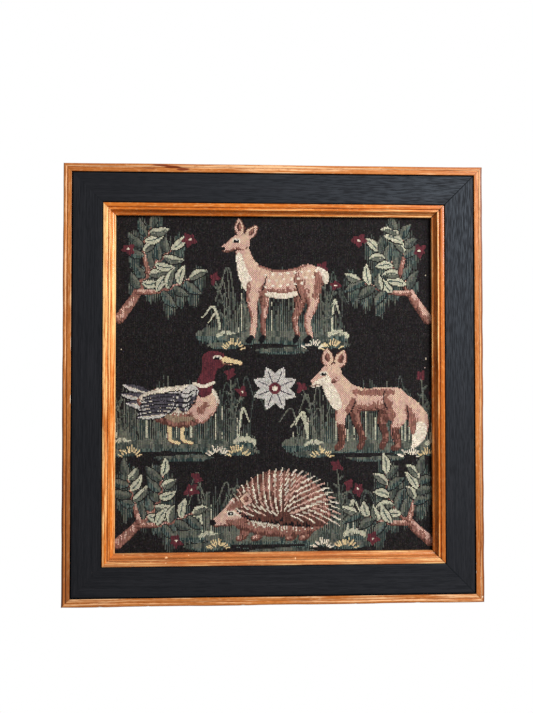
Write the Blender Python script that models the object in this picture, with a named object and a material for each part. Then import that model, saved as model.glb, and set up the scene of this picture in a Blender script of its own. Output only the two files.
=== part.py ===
"""A woven needlepoint-style picture, stretched on a board in a mitred wooden frame.

The frame is a flat black-painted rail, edged outside by a reeded pine strip and inside by a
stepped pine moulding whose lip holds the cloth. Units are metres and +Z is up. The front faces
-Y and the flat back lies on the wall plane y = 0. The origin is the hanging point: the middle of
the top rail's back.
"""
from math import asin, cos, degrees, radians, sin, sqrt

import bmesh
import bpy
from mathutils import Matrix, Vector

MM = 0.001

# Overall size of the frame, and the widths of its three rings as they show from the front
FRAME_WIDTH = 504 * MM
FRAME_HEIGHT = 526 * MM
STRIP_WIDTH = 10.4 * MM
BAND_WIDTH = 37.4 * MM
MOULDING_WIDTH = 13.2 * MM
PIECE_GAP = 0.3 * MM

# Heights of the three rings above the wall
STRIP_FRONT = 21.2 * MM
BAND_FRONT = 20.4 * MM
MOULDING_FRONT = 22.0 * MM

# Outer strip: a rounded ridge along the outside, a shallow groove, and a flat beside the band
RIDGE_OUTER_RADIUS = 2.6 * MM
RIDGE_FLAT = 1.5 * MM
RIDGE_INNER_RADIUS = 0.5 * MM
STRIP_GROOVE_WIDTH = 1.2 * MM
STRIP_GROOVE_DEPTH = 0.4 * MM
STRIP_ARRIS = 0.35 * MM

# Black band: flat, with a rounded shoulder that falls to a dark quirk along each edge
BAND_SHOULDER_RADIUS = 0.8 * MM
BAND_QUIRK_WIDTH = 1.1 * MM
BAND_QUIRK_DEPTH = 1.3 * MM

# Inner moulding, outside to inside: fillet, groove, bead, quirk, steep cove and lip
FILLET_WIDTH = 4.7 * MM
FILLET_OUTER_RADIUS = 0.9 * MM
FILLET_ARRIS = 0.4 * MM
GROOVE_WIDTH = 1.6 * MM
GROOVE_RADIUS = 0.5 * MM
BEAD_RADIUS = 1.1 * MM
BEAD_DROP = 0.4 * MM
QUIRK_WIDTH = 0.5 * MM
QUIRK_DEPTH = 0.9 * MM
COVE_TOP = 1.9 * MM
COVE_WIDTH = 3.3 * MM
COVE_DROP = 4.2 * MM
LIP_NOSE_RADIUS = 0.5 * MM
LIP_UNDERSIDE = 12.2 * MM
MOULDING_WALL = 5.7 * MM

# Cloth and board, held in the rebate behind the lip
CLOTH_OVERLAP = 6.0 * MM
CLOTH_THICKNESS = 1.6 * MM
BOARD_OVERLAP = 6.5 * MM
BOARD_THICKNESS = 3.0 * MM

BACK_ARRIS = 0.5 * MM
ARC_STEPS = 8
SMOOTH_ANGLE = radians(35)

# Each side's turn about the frame's centre, and whether it runs along the frame's width
SIDES = {
    "top": (0, True),
    "right": (90, False),
    "bottom": (180, True),
    "left": (270, False),
}

# Colour, roughness and metallic value of each finish
FINISHES = {
    "amber_pine": ((0.56, 0.22, 0.065), 0.42, 0.0),
    "black_paint": ((0.017, 0.018, 0.020), 0.38, 0.0),
    "woven_cloth": ((0.030, 0.024, 0.021), 0.92, 0.0),
    "brown_hardboard": ((0.21, 0.115, 0.055), 0.75, 0.0),
}

BORDER_WIDTH = STRIP_WIDTH + BAND_WIDTH + MOULDING_WIDTH
HANGING_POINT = STRIP_WIDTH + BAND_WIDTH / 2
FRAME_CENTRE = Vector((0, 0, HANGING_POINT - FRAME_HEIGHT / 2))


def remove_everything():
    """Empties the scene of objects."""
    for item in list(bpy.data.objects):
        bpy.data.objects.remove(item, do_unlink=True)


def finish(name):
    """Returns the material of a finish, making it the first time."""
    material = bpy.data.materials.get(name)
    if material:
        return material
    colour, roughness, metallic = FINISHES[name]
    material = bpy.data.materials.new(name)
    material.use_nodes = True
    shader = material.node_tree.nodes["Principled BSDF"]
    shader.inputs["Base Color"].default_value = (*colour, 1)
    shader.inputs["Roughness"].default_value = roughness
    shader.inputs["Metallic"].default_value = metallic
    return material


def arc(across, forward, radius, start, end, drop=None):
    """Points of an arc in a section, its angles in degrees from the inward direction.

    A drop makes it an ellipse, with that radius towards the wall.
    """
    angles = [radians(start + (end - start) * i / ARC_STEPS) for i in range(ARC_STEPS + 1)]
    return [(across + radius * cos(a), forward + (drop or radius) * sin(a)) for a in angles]


def groove(start, width, face, depth):
    """Points of a shallow round groove, cut into a face from one of its edges to the other."""
    half = width / 2
    radius = (half**2 + depth**2) / (2 * depth)
    rise = degrees(asin((radius - depth) / radius))
    return arc(start + half, face + radius - depth, radius, 180 + rise, 360 - rise)


def strip_section():
    """Section of the outer strip as (inward, forward) points, from the back's outer corner."""
    inner = STRIP_WIDTH
    ridge_end = RIDGE_OUTER_RADIUS + RIDGE_FLAT
    groove_start = ridge_end + RIDGE_INNER_RADIUS
    groove_face = STRIP_FRONT - RIDGE_INNER_RADIUS
    groove_end = groove_start + STRIP_GROOVE_WIDTH
    points = [(BACK_ARRIS, 0), (0, BACK_ARRIS)]
    points += arc(RIDGE_OUTER_RADIUS, STRIP_FRONT - RIDGE_OUTER_RADIUS, RIDGE_OUTER_RADIUS, 180, 90)
    points += arc(ridge_end, groove_face, RIDGE_INNER_RADIUS, 90, 0)
    points += groove(groove_start, STRIP_GROOVE_WIDTH, groove_face, STRIP_GROOVE_DEPTH)[1:]
    points += [(groove_end, STRIP_FRONT - STRIP_ARRIS), (groove_end + STRIP_ARRIS, STRIP_FRONT)]
    points += arc(inner - STRIP_ARRIS, STRIP_FRONT - STRIP_ARRIS, STRIP_ARRIS, 90, 0)
    points += [(inner, 0)]
    return points


def band_section():
    """Section of the black band, flat between its two shoulders and quirks."""
    outer = STRIP_WIDTH + PIECE_GAP
    inner = STRIP_WIDTH + BAND_WIDTH - PIECE_GAP
    floor = BAND_FRONT - BAND_QUIRK_DEPTH
    radius = BAND_SHOULDER_RADIUS
    left = outer + BAND_QUIRK_WIDTH
    right = inner - BAND_QUIRK_WIDTH
    points = [(outer, 0), (outer, floor), (left, floor)]
    points += arc(left + radius, BAND_FRONT - radius, radius, 180, 90)
    points += arc(right - radius, BAND_FRONT - radius, radius, 90, 0)
    points += [(right, floor), (inner, floor), (inner, 0)]
    return points


def moulding_section():
    """Section of the inner moulding, from its outer wall down to the lip and the rebate."""
    outer = STRIP_WIDTH + BAND_WIDTH
    sight = BORDER_WIDTH
    fillet_end = outer + FILLET_WIDTH
    bead_start = fillet_end + GROOVE_WIDTH
    bead_height = MOULDING_FRONT - BEAD_DROP - BEAD_RADIUS
    bead_end = bead_start + 2 * BEAD_RADIUS
    quirk_end = bead_end + QUIRK_WIDTH
    quirk_floor = bead_height - QUIRK_DEPTH
    cove_height = MOULDING_FRONT - COVE_TOP
    lip_front = cove_height - COVE_DROP
    nose = LIP_NOSE_RADIUS
    round_edge = FILLET_OUTER_RADIUS
    points = [(outer, 0)]
    points += arc(outer + round_edge, MOULDING_FRONT - round_edge, round_edge, 180, 90)
    points += arc(fillet_end - FILLET_ARRIS, MOULDING_FRONT - FILLET_ARRIS, FILLET_ARRIS, 90, 0)
    points += arc(fillet_end + GROOVE_RADIUS, bead_height + GROOVE_RADIUS, GROOVE_RADIUS, 180, 270)
    points += arc(bead_start + BEAD_RADIUS, bead_height, BEAD_RADIUS, 180, 0)
    points += [(bead_end, quirk_floor), (quirk_end, quirk_floor)]
    points += arc(quirk_end + COVE_WIDTH, cove_height, COVE_WIDTH, 180, 270, COVE_DROP)
    points += arc(sight - nose, lip_front - nose, nose, 90, 0)
    points += [(sight, LIP_UNDERSIDE + nose), (sight - nose, LIP_UNDERSIDE)]
    points += [(outer + MOULDING_WALL, LIP_UNDERSIDE), (outer + MOULDING_WALL, 0)]
    return points


def mitred_rail(name, section, side, finish_name):
    """Extrudes a section along one side of the frame, with both ends cut at 45 degrees.

    The rail's own axes are x along it, -z inward and -y forward, and its origin is the middle
    of the frame's outer edge on that side. Each end stands back by half of the mitre's gap.
    """
    turn, along_width = SIDES[side]
    length = FRAME_WIDTH if along_width else FRAME_HEIGHT
    reach = FRAME_HEIGHT / 2 if along_width else FRAME_WIDTH / 2
    end_gap = PIECE_GAP / sqrt(2)
    shape = bmesh.new()
    ends = []
    for sign in (-1, 1):
        corners = [
            (sign * (length / 2 - inward - end_gap), -forward, -inward) for inward, forward in section
        ]
        ends.append([shape.verts.new(corner) for corner in corners])
    for i in range(len(section)):
        j = (i + 1) % len(section)
        shape.faces.new((ends[0][i], ends[0][j], ends[1][j], ends[1][i]))
    shape.faces.new(ends[0])
    shape.faces.new(ends[1])
    bmesh.ops.recalc_face_normals(shape, faces=shape.faces)
    rail = new_object(f"{name}_{side}", shape, finish_name)
    rotation = Matrix.Rotation(radians(turn), 4, "Y")
    rail.rotation_euler = (0, radians(turn), 0)
    rail.location = FRAME_CENTRE + rotation @ Vector((0, 0, reach))
    return rail


def flat_sheet(name, width, height, front, thickness, finish_name):
    """A flat sheet centred in the frame, its front face at a height above the wall."""
    shape = bmesh.new()
    corners = [(-width, -height), (width, -height), (width, height), (-width, height)]
    shape.faces.new([shape.verts.new((x / 2, 0, z / 2)) for x, z in corners])
    sheet = new_object(name, shape, finish_name)
    sheet.location = FRAME_CENTRE + Vector((0, -front, 0))
    solid = sheet.modifiers.new("thickness", "SOLIDIFY")
    solid.thickness = thickness
    solid.offset = -1
    return sheet


def new_object(name, shape, finish_name):
    """Turns a bmesh into an object of the scene, smooth but for its sharp edges."""
    mesh = bpy.data.meshes.new(name)
    shape.to_mesh(mesh)
    shape.free()
    mesh.shade_smooth()
    mesh.set_sharp_from_angle(angle=SMOOTH_ANGLE)
    mesh.materials.append(finish(finish_name))
    item = bpy.data.objects.new(name, mesh)
    bpy.context.scene.collection.objects.link(item)
    return item


def main():
    """Builds the frame's three rings, the cloth and its board."""
    remove_everything()
    for side in SIDES:
        mitred_rail("strip", strip_section(), side, "amber_pine")
        mitred_rail("band", band_section(), side, "black_paint")
        mitred_rail("moulding", moulding_section(), side, "amber_pine")
    sight_width = FRAME_WIDTH - 2 * BORDER_WIDTH
    sight_height = FRAME_HEIGHT - 2 * BORDER_WIDTH
    cloth_front = LIP_UNDERSIDE - PIECE_GAP
    board_front = cloth_front - CLOTH_THICKNESS - PIECE_GAP
    flat_sheet(
        "cloth",
        sight_width + 2 * CLOTH_OVERLAP,
        sight_height + 2 * CLOTH_OVERLAP,
        cloth_front,
        CLOTH_THICKNESS,
        "woven_cloth",
    )
    flat_sheet(
        "back_board",
        sight_width + 2 * BOARD_OVERLAP,
        sight_height + 2 * BOARD_OVERLAP,
        board_front,
        BOARD_THICKNESS,
        "brown_hardboard",
    )


main()
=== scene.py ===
"""Dresses a framed woven picture: its pine and black rails, the cloth, the board and a plain studio.

Units are metres and +Z is up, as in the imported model. The front faces -Y and the origin is the
hanging point on the wall. Rail sections and places on the cloth are given in millimetres, and what
is given for each side runs clockwise from the top.
"""
import logging
import math
from abc import ABC, abstractmethod
from dataclasses import dataclass, field
from enum import Enum
from typing import Any, ClassVar, NamedTuple

import bpy
import numpy as np
from mathutils import Matrix, Vector


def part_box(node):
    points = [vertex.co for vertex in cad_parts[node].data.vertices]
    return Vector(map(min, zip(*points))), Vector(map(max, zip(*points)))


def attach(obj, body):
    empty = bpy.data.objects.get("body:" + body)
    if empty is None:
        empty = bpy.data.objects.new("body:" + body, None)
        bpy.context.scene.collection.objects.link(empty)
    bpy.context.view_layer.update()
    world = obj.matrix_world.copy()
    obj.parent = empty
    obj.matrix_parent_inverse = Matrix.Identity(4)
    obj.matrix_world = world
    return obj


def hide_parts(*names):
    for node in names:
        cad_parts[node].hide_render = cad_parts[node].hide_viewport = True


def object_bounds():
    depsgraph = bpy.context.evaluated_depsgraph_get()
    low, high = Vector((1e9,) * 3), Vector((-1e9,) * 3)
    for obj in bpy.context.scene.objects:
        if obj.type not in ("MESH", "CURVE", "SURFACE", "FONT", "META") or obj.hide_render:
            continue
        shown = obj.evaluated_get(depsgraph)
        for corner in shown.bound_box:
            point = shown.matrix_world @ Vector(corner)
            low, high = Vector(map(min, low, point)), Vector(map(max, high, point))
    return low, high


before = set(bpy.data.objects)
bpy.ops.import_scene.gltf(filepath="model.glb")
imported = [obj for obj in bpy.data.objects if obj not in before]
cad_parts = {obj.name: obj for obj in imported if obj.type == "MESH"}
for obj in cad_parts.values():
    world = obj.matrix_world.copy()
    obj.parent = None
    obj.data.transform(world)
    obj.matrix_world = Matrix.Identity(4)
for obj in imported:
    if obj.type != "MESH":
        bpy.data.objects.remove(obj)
cad_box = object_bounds()
log = logging.getLogger("framed_weave")

MM = 0.001
BAKE_MAP = "OFBake"
WAVE_TURN = 6.28
THIN = 0.5
ARC_STEP = 18
DISC_RAYS, DISC_RINGS = 24, 4

Pair = tuple[float, float]
Place = tuple[float, float]
Colour = tuple[float, float, float]
Disc = tuple[float, float, float]
Waves = tuple[float, float, float]
PerSide = tuple[float, float, float, float]
Row = tuple[float, ...]
Rows = tuple[Row, Row, Row, Row]
Window = tuple[slice, slice]


class Signal:
    """A value in a shader, which Python arithmetic extends with Math nodes."""

    def __init__(self, graph: "ShaderGraph", socket: bpy.types.NodeSocket) -> None:
        """Wraps an output socket."""
        self.graph = graph
        self.socket = socket

    def __add__(self, other: "Signal | float") -> "Signal":
        """The sum."""
        return self.graph.calculate("ADD", self, other)

    def __sub__(self, other: "Signal | float") -> "Signal":
        """The difference."""
        return self.graph.calculate("SUBTRACT", self, other)

    def __rsub__(self, other: float) -> "Signal":
        """The difference from a number."""
        return self.graph.calculate("SUBTRACT", other, self)

    def __mul__(self, other: "Signal | float") -> "Signal":
        """The product."""
        return self.graph.calculate("MULTIPLY", self, other)

    def __truediv__(self, other: "Signal | float") -> "Signal":
        """The quotient."""
        return self.graph.calculate("DIVIDE", self, other)

    def __pow__(self, other: float) -> "Signal":
        """The power."""
        return self.graph.calculate("POWER", self, other)

    __radd__ = __add__
    __rmul__ = __mul__

    def eased(self, low: float, high: float) -> "Signal":
        """0 below the low value, 1 above the high one, and a smooth step between."""
        sockets = {"Value": self, "From Min": low, "From Max": high}
        return self.graph.signal("MapRange", {"interpolation_type": "SMOOTHSTEP"}, sockets, "Result")

    def rounded(self) -> "Signal":
        """The height of a row of round threads, one to each unit."""
        return self.graph.calculate("ABSOLUTE", self.graph.calculate("SINE", self * math.pi))


class ShaderGraph:
    """The nodes of one material or world.

    The MIX values number the Mix node's sockets for colours. The SHIFT values are the shares of a
    place's shift that go back and outward, and BACK_EDGE is the depth over which a rail's finish ends.
    """

    MIX_SHARE, MIX_FIRST, MIX_SECOND, MIX_COLOUR = 0, 6, 7, 2
    SHIFT_BACK, SHIFT_OUTWARD = 0.31, 0.17
    BACK_EDGE = (0.2 * MM, 0.8 * MM)

    def __init__(self, owner: bpy.types.Material | bpy.types.World) -> None:
        """Starts from no nodes.

        Args:
            owner: The material or world that holds them.
        """
        owner.use_nodes = True
        self.owner = owner
        self.tree = owner.node_tree
        self.tree.nodes.clear()

    def node(self, kind: str, settings: dict[str, Any], sockets: dict[str | int, Any]) -> bpy.types.Node:
        """Adds a node.

        Args:
            kind: The node's type, without its prefix.
            settings: Its properties, which are set first.
            sockets: A Signal or a value for each of its sockets, by name or number.

        Returns:
            The node.
        """
        item = self.tree.nodes.new("ShaderNode" + kind)
        for name, value in settings.items():
            setattr(item, name, value)
        for name, value in sockets.items():
            if isinstance(value, Signal):
                self.tree.links.new(value.socket, item.inputs[name])
            else:
                item.inputs[name].default_value = value
        return item

    def signal(self, kind: str, settings: dict[str, Any], sockets: dict[str | int, Any],
               output: str | int = 0) -> Signal:
        """One output of a new node, by name or number."""
        return Signal(self, self.node(kind, settings, sockets).outputs[output])

    def calculate(self, operation: str, *values: Signal | float) -> Signal:
        """The result of a Math node."""
        return self.signal("Math", {"operation": operation}, dict(enumerate(values)))

    def attribute(self, name: str, output: str = "Fac") -> Signal:
        """A value that the mesh holds."""
        return self.signal("Attribute", {"attribute_name": name}, {}, output)

    def place(self, shift: Signal | None = None) -> Signal:
        """The object's own coordinates.

        Args:
            shift: How far they are moved along the rail, and by a share of it back and outward.

        Returns:
            The coordinates, as a vector.
        """
        spot = self.signal("TexCoord", {}, {}, "Object")
        if shift is None:
            return spot
        parts = {"X": shift, "Y": shift * self.SHIFT_BACK, "Z": shift * self.SHIFT_OUTWARD}
        step = self.signal("CombineXYZ", {}, parts)
        return self.signal("VectorMath", {"operation": "ADD"}, {0: spot, 1: step})

    def axes(self, vector: Signal) -> tuple[Signal, Signal, Signal]:
        """The three parts of a vector."""
        node = self.node("SeparateXYZ", {}, {0: vector})
        return tuple(Signal(self, node.outputs[i]) for i in range(3))

    def finished(self, depth: Signal) -> Signal:
        """1 over a rail's finished front and walls and 0 over its bare back, from its depth axis."""
        return (depth * -1).eased(*self.BACK_EDGE)

    def noise(self, vector: Signal, waves: Waves, detail: float = 2) -> Signal:
        """Soft noise from 0 to 1.

        Args:
            vector: Where it is read.
            waves: How many of its waves there are to a metre, along each axis.
            detail: How many finer layers it has.

        Returns:
            The noise.
        """
        scaled = self.signal("VectorMath", {"operation": "MULTIPLY"}, {0: vector, 1: waves})
        return self.signal("TexNoise", {}, {"Vector": scaled, "Scale": 1, "Detail": detail})

    def blend(self, share: Signal | float, first: Signal | Colour, second: Signal | Colour,
              mode: str = "MIX") -> Signal:
        """Turns one colour into another.

        Args:
            share: How far it is turned, from 0 to 1.
            first: The colour at 0.
            second: The colour at 1.
            mode: The Mix node's mode.

        Returns:
            The colour.
        """
        first, second = (end if isinstance(end, Signal) else (*end, 1) for end in (first, second))
        sockets = {self.MIX_SHARE: share, self.MIX_FIRST: first, self.MIX_SECOND: second}
        return self.signal("Mix", {"data_type": "RGBA", "blend_type": mode}, sockets, self.MIX_COLOUR)

    def layered(self, base: Colour, *layers: tuple[Signal | float, Colour]) -> Signal:
        """Lays colours over a base colour.

        Args:
            base: The base colour.
            layers: Each layer's share and its colour, from the lowest up.

        Returns:
            The colour.
        """
        for share, colour in layers:
            base = self.blend(share, base, colour)
        return base

    def relief(self, height: Signal, depth: float, strength: float) -> Signal:
        """A normal that follows a height from 0 to 1, over a depth in metres."""
        return self.signal("Bump", {}, {"Height": height, "Distance": depth, "Strength": strength})

    def surface(self, sockets: dict[str, Any]) -> bpy.types.Material:
        """Ends the material in a Principled shader, from the values or Signals of its sockets."""
        self.node("OutputMaterial", {}, {"Surface": self.signal("BsdfPrincipled", {}, sockets)})
        return self.owner


@dataclass(frozen=True)
class AmberPine:
    """Amber-varnished pine with streaks of bleaching, rubbed pale on its arrises, with painted light and
    shade by side, painted highlights, a painted reflection and painted shade in its recesses.
    """

    name: str = "inner_amber_pine"
    pale: Colour = (0.74, 0.216, 0.025)
    mid: Colour = (0.56, 0.134, 0.010)
    late: Colour = (0.30, 0.060, 0.006)
    # Bleaching, and also painted light where the light falls on a side or stretch.
    bleached_and_lit: Colour = (1.0, 0.58, 0.23)
    # Painted shade on the sides and stretches out of the light, and darkening of outer edges.
    shade_and_darkening: Colour = (0.17, 0.050, 0.016)
    # A pale veil of painted reflection.
    pale_veil: Colour = (0.30, 0.17, 0.10)
    # Painted shade in the recesses.
    hollow: Colour = (0.085, 0.011, 0.001)
    soot: Colour = (0.004, 0.003, 0.003)
    # Rubbed arrises; on the moulding also painted highlights on the bead and lip.
    rubbed: Colour = (0.92, 0.46, 0.13)
    bare: Colour = (0.86, 0.50, 0.26)
    sawn: Colour = (0.50, 0.34, 0.18)
    knot: Colour = (0.19, 0.038, 0.012)
    ring_spacing: float = 2.4 * MM
    ring_slant: float = 0.6
    ring_drift: float = 5
    streaks: float = 1.9
    roughness: float = 0.36
    rubbed_roughness: float = 0.18
    sawn_roughness: float = 0.35
    specular: float = 0.10
    gloss: float = 0.55
    gloss_roughness: float = 0.22
    grain_depth: float = 0.12 * MM
    drift_waves: Waves = (7, 60, 60)
    fibre_waves: Waves = (34, 1100, 1100)
    streak_waves: Waves = (18, 480, 480)
    cloud_waves: Waves = (16, 70, 70)
    fleck_waves: Waves = (170, 760, 760)
    scuff_waves: Waves = (120, 900, 900)

    def material(self) -> bpy.types.Material:
        """Builds the wood's nodes.

        Returns:
            The material.
        """
        graph = ShaderGraph(bpy.data.materials.new(self.name))
        place = graph.place(graph.attribute("board"))
        _, depth, across = graph.axes(graph.place())
        drift = graph.noise(place, self.drift_waves, 1)
        fibre, scuff = (graph.noise(place, waves, 3) for waves in (self.fibre_waves, self.scuff_waves))
        streak, cloud, fleck = (
            graph.noise(place, waves) for waves in (self.streak_waves, self.cloud_waves, self.fleck_waves)
        )
        ring = ((across + depth * self.ring_slant) / self.ring_spacing + drift * self.ring_drift).rounded()
        # Painted light and shade by side, with real bleaching, and painted shade in the recesses, which also
        # dulls the gloss there.
        fading, shut = graph.attribute("faded"), graph.attribute("hollow")
        faded = fading + (streak - 0.5) * self.streaks + (fibre - 0.5) * 0.8 - ring * 0.10
        # Rubbed arrises, which on the moulding also give its bead and lip painted highlights.
        worn = (graph.attribute("arris") * (0.25 + scuff * 1.3)).eased(0.45, 0.80)
        chipped = (graph.attribute("chip") * (0.5 + scuff)).eased(0.42, 0.60)
        wood = graph.layered(
            self.mid,
            (ring.eased(0.55, 1.0) * 0.75, self.late),
            (fibre.eased(0.42, 0.75) * 0.55, self.pale),
            (cloud.eased(0.30, 0.70) * 0.45, self.pale),
            (faded.eased(0.2, 0.8), self.bleached_and_lit),
            (fleck.eased(0.52, 0.72) * 0.45, self.late),
            ((1 - fleck).eased(0.54, 0.74) * 0.30, self.bleached_and_lit),
            # Painted reflection: a pale veil over a side.
            (graph.attribute("dust") * (0.7 + cloud * 0.6), self.pale_veil),
            # Painted shade out of the light, with darkened outer edges.
            ((fading * -1).eased(0, 1), self.shade_and_darkening),
            ((graph.attribute("knot") * (0.20 + fibre * 1.5)).eased(0.22, 0.55), self.knot),
            # Painted shade in the recesses.
            ((shut * (0.75 + cloud * 0.4)).eased(0.05, 0.90), self.hollow),
            (worn * 0.75, self.rubbed),
            (chipped, self.bare),
            ((graph.attribute("soot") * (0.5 + scuff)).eased(0.0, 0.95), self.soot),
        )
        varnished = graph.finished(depth)
        aged = ring * 0.25 + cloud.eased(0.35, 0.65) * 0.3 + fibre * 0.2
        rough = self.roughness + fibre * 0.10 + (worn + chipped) * self.rubbed_roughness
        return graph.surface({
            "Base Color": graph.blend(varnished, graph.layered(self.sawn, (aged, self.late)), wood),
            "Roughness": rough + (1 - varnished) * self.sawn_roughness,
            "Specular IOR Level": self.specular,
            "Coat Weight": varnished * (1 - chipped) * (1 - shut) * self.gloss,
            "Coat Roughness": self.gloss_roughness,
            "Normal": graph.relief(fibre * 0.6 + ring * 0.4, self.grain_depth, 0.6),
        })


@dataclass(frozen=True)
class BlackPaint:
    """Satin black paint over open grain that runs along the rail, with a cool gloss, soot, and painted shade
    in its recesses.
    """

    name: str = "black_paint"
    paint: Colour = (0.0050, 0.0036, 0.0036)
    grey: Colour = (0.021, 0.019, 0.021)
    rubbed: Colour = (0.060, 0.052, 0.046)
    # Soot of joints and edges, and painted shade in the recesses.
    soot: Colour = (0.0015, 0.0015, 0.0017)
    sawn: Colour = (0.40, 0.28, 0.16)
    sawn_dark: Colour = (0.17, 0.105, 0.055)
    gloss_tint: Colour = (0.66, 0.82, 1.0)
    roughness: float = 0.50
    gap_roughness: float = 0.24
    sawn_roughness: float = 0.3
    shut_roughness: float = 0.5
    specular: float = 0.32
    grain_depth: float = 0.20 * MM
    pore_waves: Waves = (22, 1500, 900)
    streak_waves: Waves = (9, 330, 330)
    dash_waves: Waves = (70, 760, 760)
    cloud_waves: Waves = (14, 30, 30)

    def material(self) -> bpy.types.Material:
        """Builds the paint's nodes.

        Returns:
            The material.
        """
        graph = ShaderGraph(bpy.data.materials.new(self.name))
        place = graph.place(graph.attribute("board"))
        _, depth, _ = graph.axes(graph.place())
        pores = graph.noise(place, self.pore_waves, 3)
        streak, cloud = (graph.noise(place, waves) for waves in (self.streak_waves, self.cloud_waves))
        dash = graph.noise(place, self.dash_waves).eased(0.36, 0.62)
        lines = pores.eased(0.38, 0.66)
        worn = (graph.attribute("arris") * (0.2 + pores)).eased(0.50, 0.85)
        scraped = (graph.attribute("chip") * (0.5 + pores)).eased(0.42, 0.60)
        # Painted shade in the recesses, with the soot of joints and edges.
        shut = (graph.attribute("hollow") + graph.attribute("soot")).eased(0.0, 0.8)
        colour = graph.layered(
            self.paint,
            (streak.eased(0.40, 0.80) * 0.35 + dash * 0.25, self.grey),
            (worn * 0.4 + scraped * 0.5, self.rubbed),
            (shut, self.soot),
        )
        painted = graph.finished(depth)
        rough = self.roughness + streak * 0.12 + cloud * 0.08 - lines * 0.06 + (1 - dash) * self.gap_roughness
        aged = streak.eased(0.3, 0.7) * 0.4 + cloud * 0.3 + pores * 0.2
        return graph.surface({
            "Base Color": graph.blend(painted, graph.layered(self.sawn, (aged, self.sawn_dark)), colour),
            "Roughness": rough + (1 - painted) * self.sawn_roughness + shut * self.shut_roughness,
            "Specular IOR Level": self.specular,
            "Specular Tint": (*self.gloss_tint, 1),
            "Normal": graph.relief(lines * 0.5 + streak * 0.2 + dash * 0.4, self.grain_depth, 0.7),
        })


@dataclass(frozen=True)
class WovenWool:
    """Matt woven yarn, a rounded pad to each stitch in upright ribs, with painted shade between the threads.
    """

    pitch: float
    name: str = "woven_wool"
    roughness: float = 0.95
    specular: float = 0.12
    pad_depth: float = 0.35 * MM
    fuzz_waves: Waves = (1900, 1900, 1900)

    def material(self) -> bpy.types.Material:
        """Builds the weave's nodes about the colour that each stitch holds.

        Returns:
            The material.
        """
        graph = ShaderGraph(bpy.data.materials.new(self.name))
        place = graph.place()
        x, _, z = graph.axes(place)
        rib, pick = ((way / self.pitch).rounded() for way in (x, z))
        pad = rib * 0.6 + pick * 0.25 + graph.noise(place, self.fuzz_waves) * 0.25
        # Painted shade: each stitch darker towards the gaps between its threads.
        lit = graph.signal("CombineXYZ", {}, dict.fromkeys("XYZ", 0.62 + pad * 0.5))
        return graph.surface({
            "Base Color": graph.blend(1, graph.attribute("yarn", "Color"), lit, "MULTIPLY"),
            "Roughness": self.roughness,
            "Specular IOR Level": self.specular,
            "Normal": graph.relief(pad, self.pad_depth, 0.7),
        })


@dataclass(frozen=True)
class BrownHardboard:
    """Pressed brown fibreboard, flecked and faintly dished by its press screen."""

    name: str = "brown_hardboard"
    board: Colour = (0.20, 0.105, 0.048)
    fleck: Colour = (0.34, 0.20, 0.10)
    roughness: float = 0.62
    screen_pitch: float = 1.4 * MM
    screen_depth: float = 0.2 * MM
    cloud_waves: Waves = (9, 9, 9)
    fibre_waves: Waves = (500, 500, 1400)

    def material(self) -> bpy.types.Material:
        """Builds the board's nodes.

        Returns:
            The material.
        """
        graph = ShaderGraph(bpy.data.materials.new(self.name))
        place = graph.place()
        x, _, z = graph.axes(place)
        cloud, fibre = (graph.noise(place, waves, 3) for waves in (self.cloud_waves, self.fibre_waves))
        screen = (x / self.screen_pitch).rounded() * (z / self.screen_pitch).rounded()
        flecked = (fibre.eased(0.45, 0.80), self.fleck)
        return graph.surface({
            "Base Color": graph.layered(self.board, flecked, (cloud * 0.45, self.board)),
            "Roughness": self.roughness + fibre * 0.25,
            "Normal": graph.relief(screen * 0.7 + fibre * 0.3, self.screen_depth, 0.6),
        })


class Side(Enum):
    """A side of the frame, with its turn in degrees clockwise from the top."""

    TOP = 0
    RIGHT = 90
    BOTTOM = 180
    LEFT = 270

    def own_place(self, x: float, z: float) -> Place:
        """A place seen from the front as distances along the rail and outward, from the frame's centre."""
        turn = math.radians(self.value)
        return x * math.cos(turn) - z * math.sin(turn), x * math.sin(turn) + z * math.cos(turn)


@dataclass(frozen=True)
class FrameSize:
    """The frame's overall size in millimetres, and its centre in metres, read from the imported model."""

    width: float
    height: float
    centre: Vector

    @classmethod
    def read(cls) -> "FrameSize":
        """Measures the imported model.

        Returns:
            Its size.
        """
        low, high = cad_box
        middle = (low + high) / 2
        return cls((high.x - low.x) / MM, (high.z - low.z) / MM, Vector((middle.x, 0, middle.z)))

    def about(self, side: Side) -> Pair:
        """The frame's size along a side, and across it."""
        return (self.width, self.height) if side in (Side.TOP, Side.BOTTOM) else (self.height, self.width)


class Mark(Enum):
    """What a flaw leaves on a rail: a chip bares the wood, a dent doesn't, and a knot is only dark."""

    CHIP = "chip"
    DENT = "dent"
    KNOT = "knot"


class Flaw(NamedTuple):
    """A mark of age on the frame, in millimetres from its centre as seen from the front."""

    x: float
    z: float
    length: float
    width: float
    depth: float
    mark: Mark = Mark.CHIP


class Reach(NamedTuple):
    """How far about a point the wood is looked for, and how open it is where wear starts and is full."""

    distance: float
    start: float
    full: float


def arc(across: float, forward: float, radius: float, start: float, end: float,
        drop: float | None = None) -> list[Place]:
    """Points of an arc in a section, ARC_STEP degrees apart on a radius of 1 mm and closer on a larger one.

    Args:
        across: The centre's distance inward.
        forward: The centre's height above the wall.
        radius: The radius.
        start: The first angle, in degrees from the inward direction.
        end: The last angle.
        drop: The radius towards the wall, where it is an ellipse.

    Returns:
        The points.
    """
    steps = max(3, round(abs(end - start) * math.sqrt(radius) / ARC_STEP))
    angles = np.radians(np.linspace(start, end, steps + 1))
    return [(across + radius * math.cos(a), forward + (drop or radius) * math.sin(a)) for a in angles]


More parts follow.
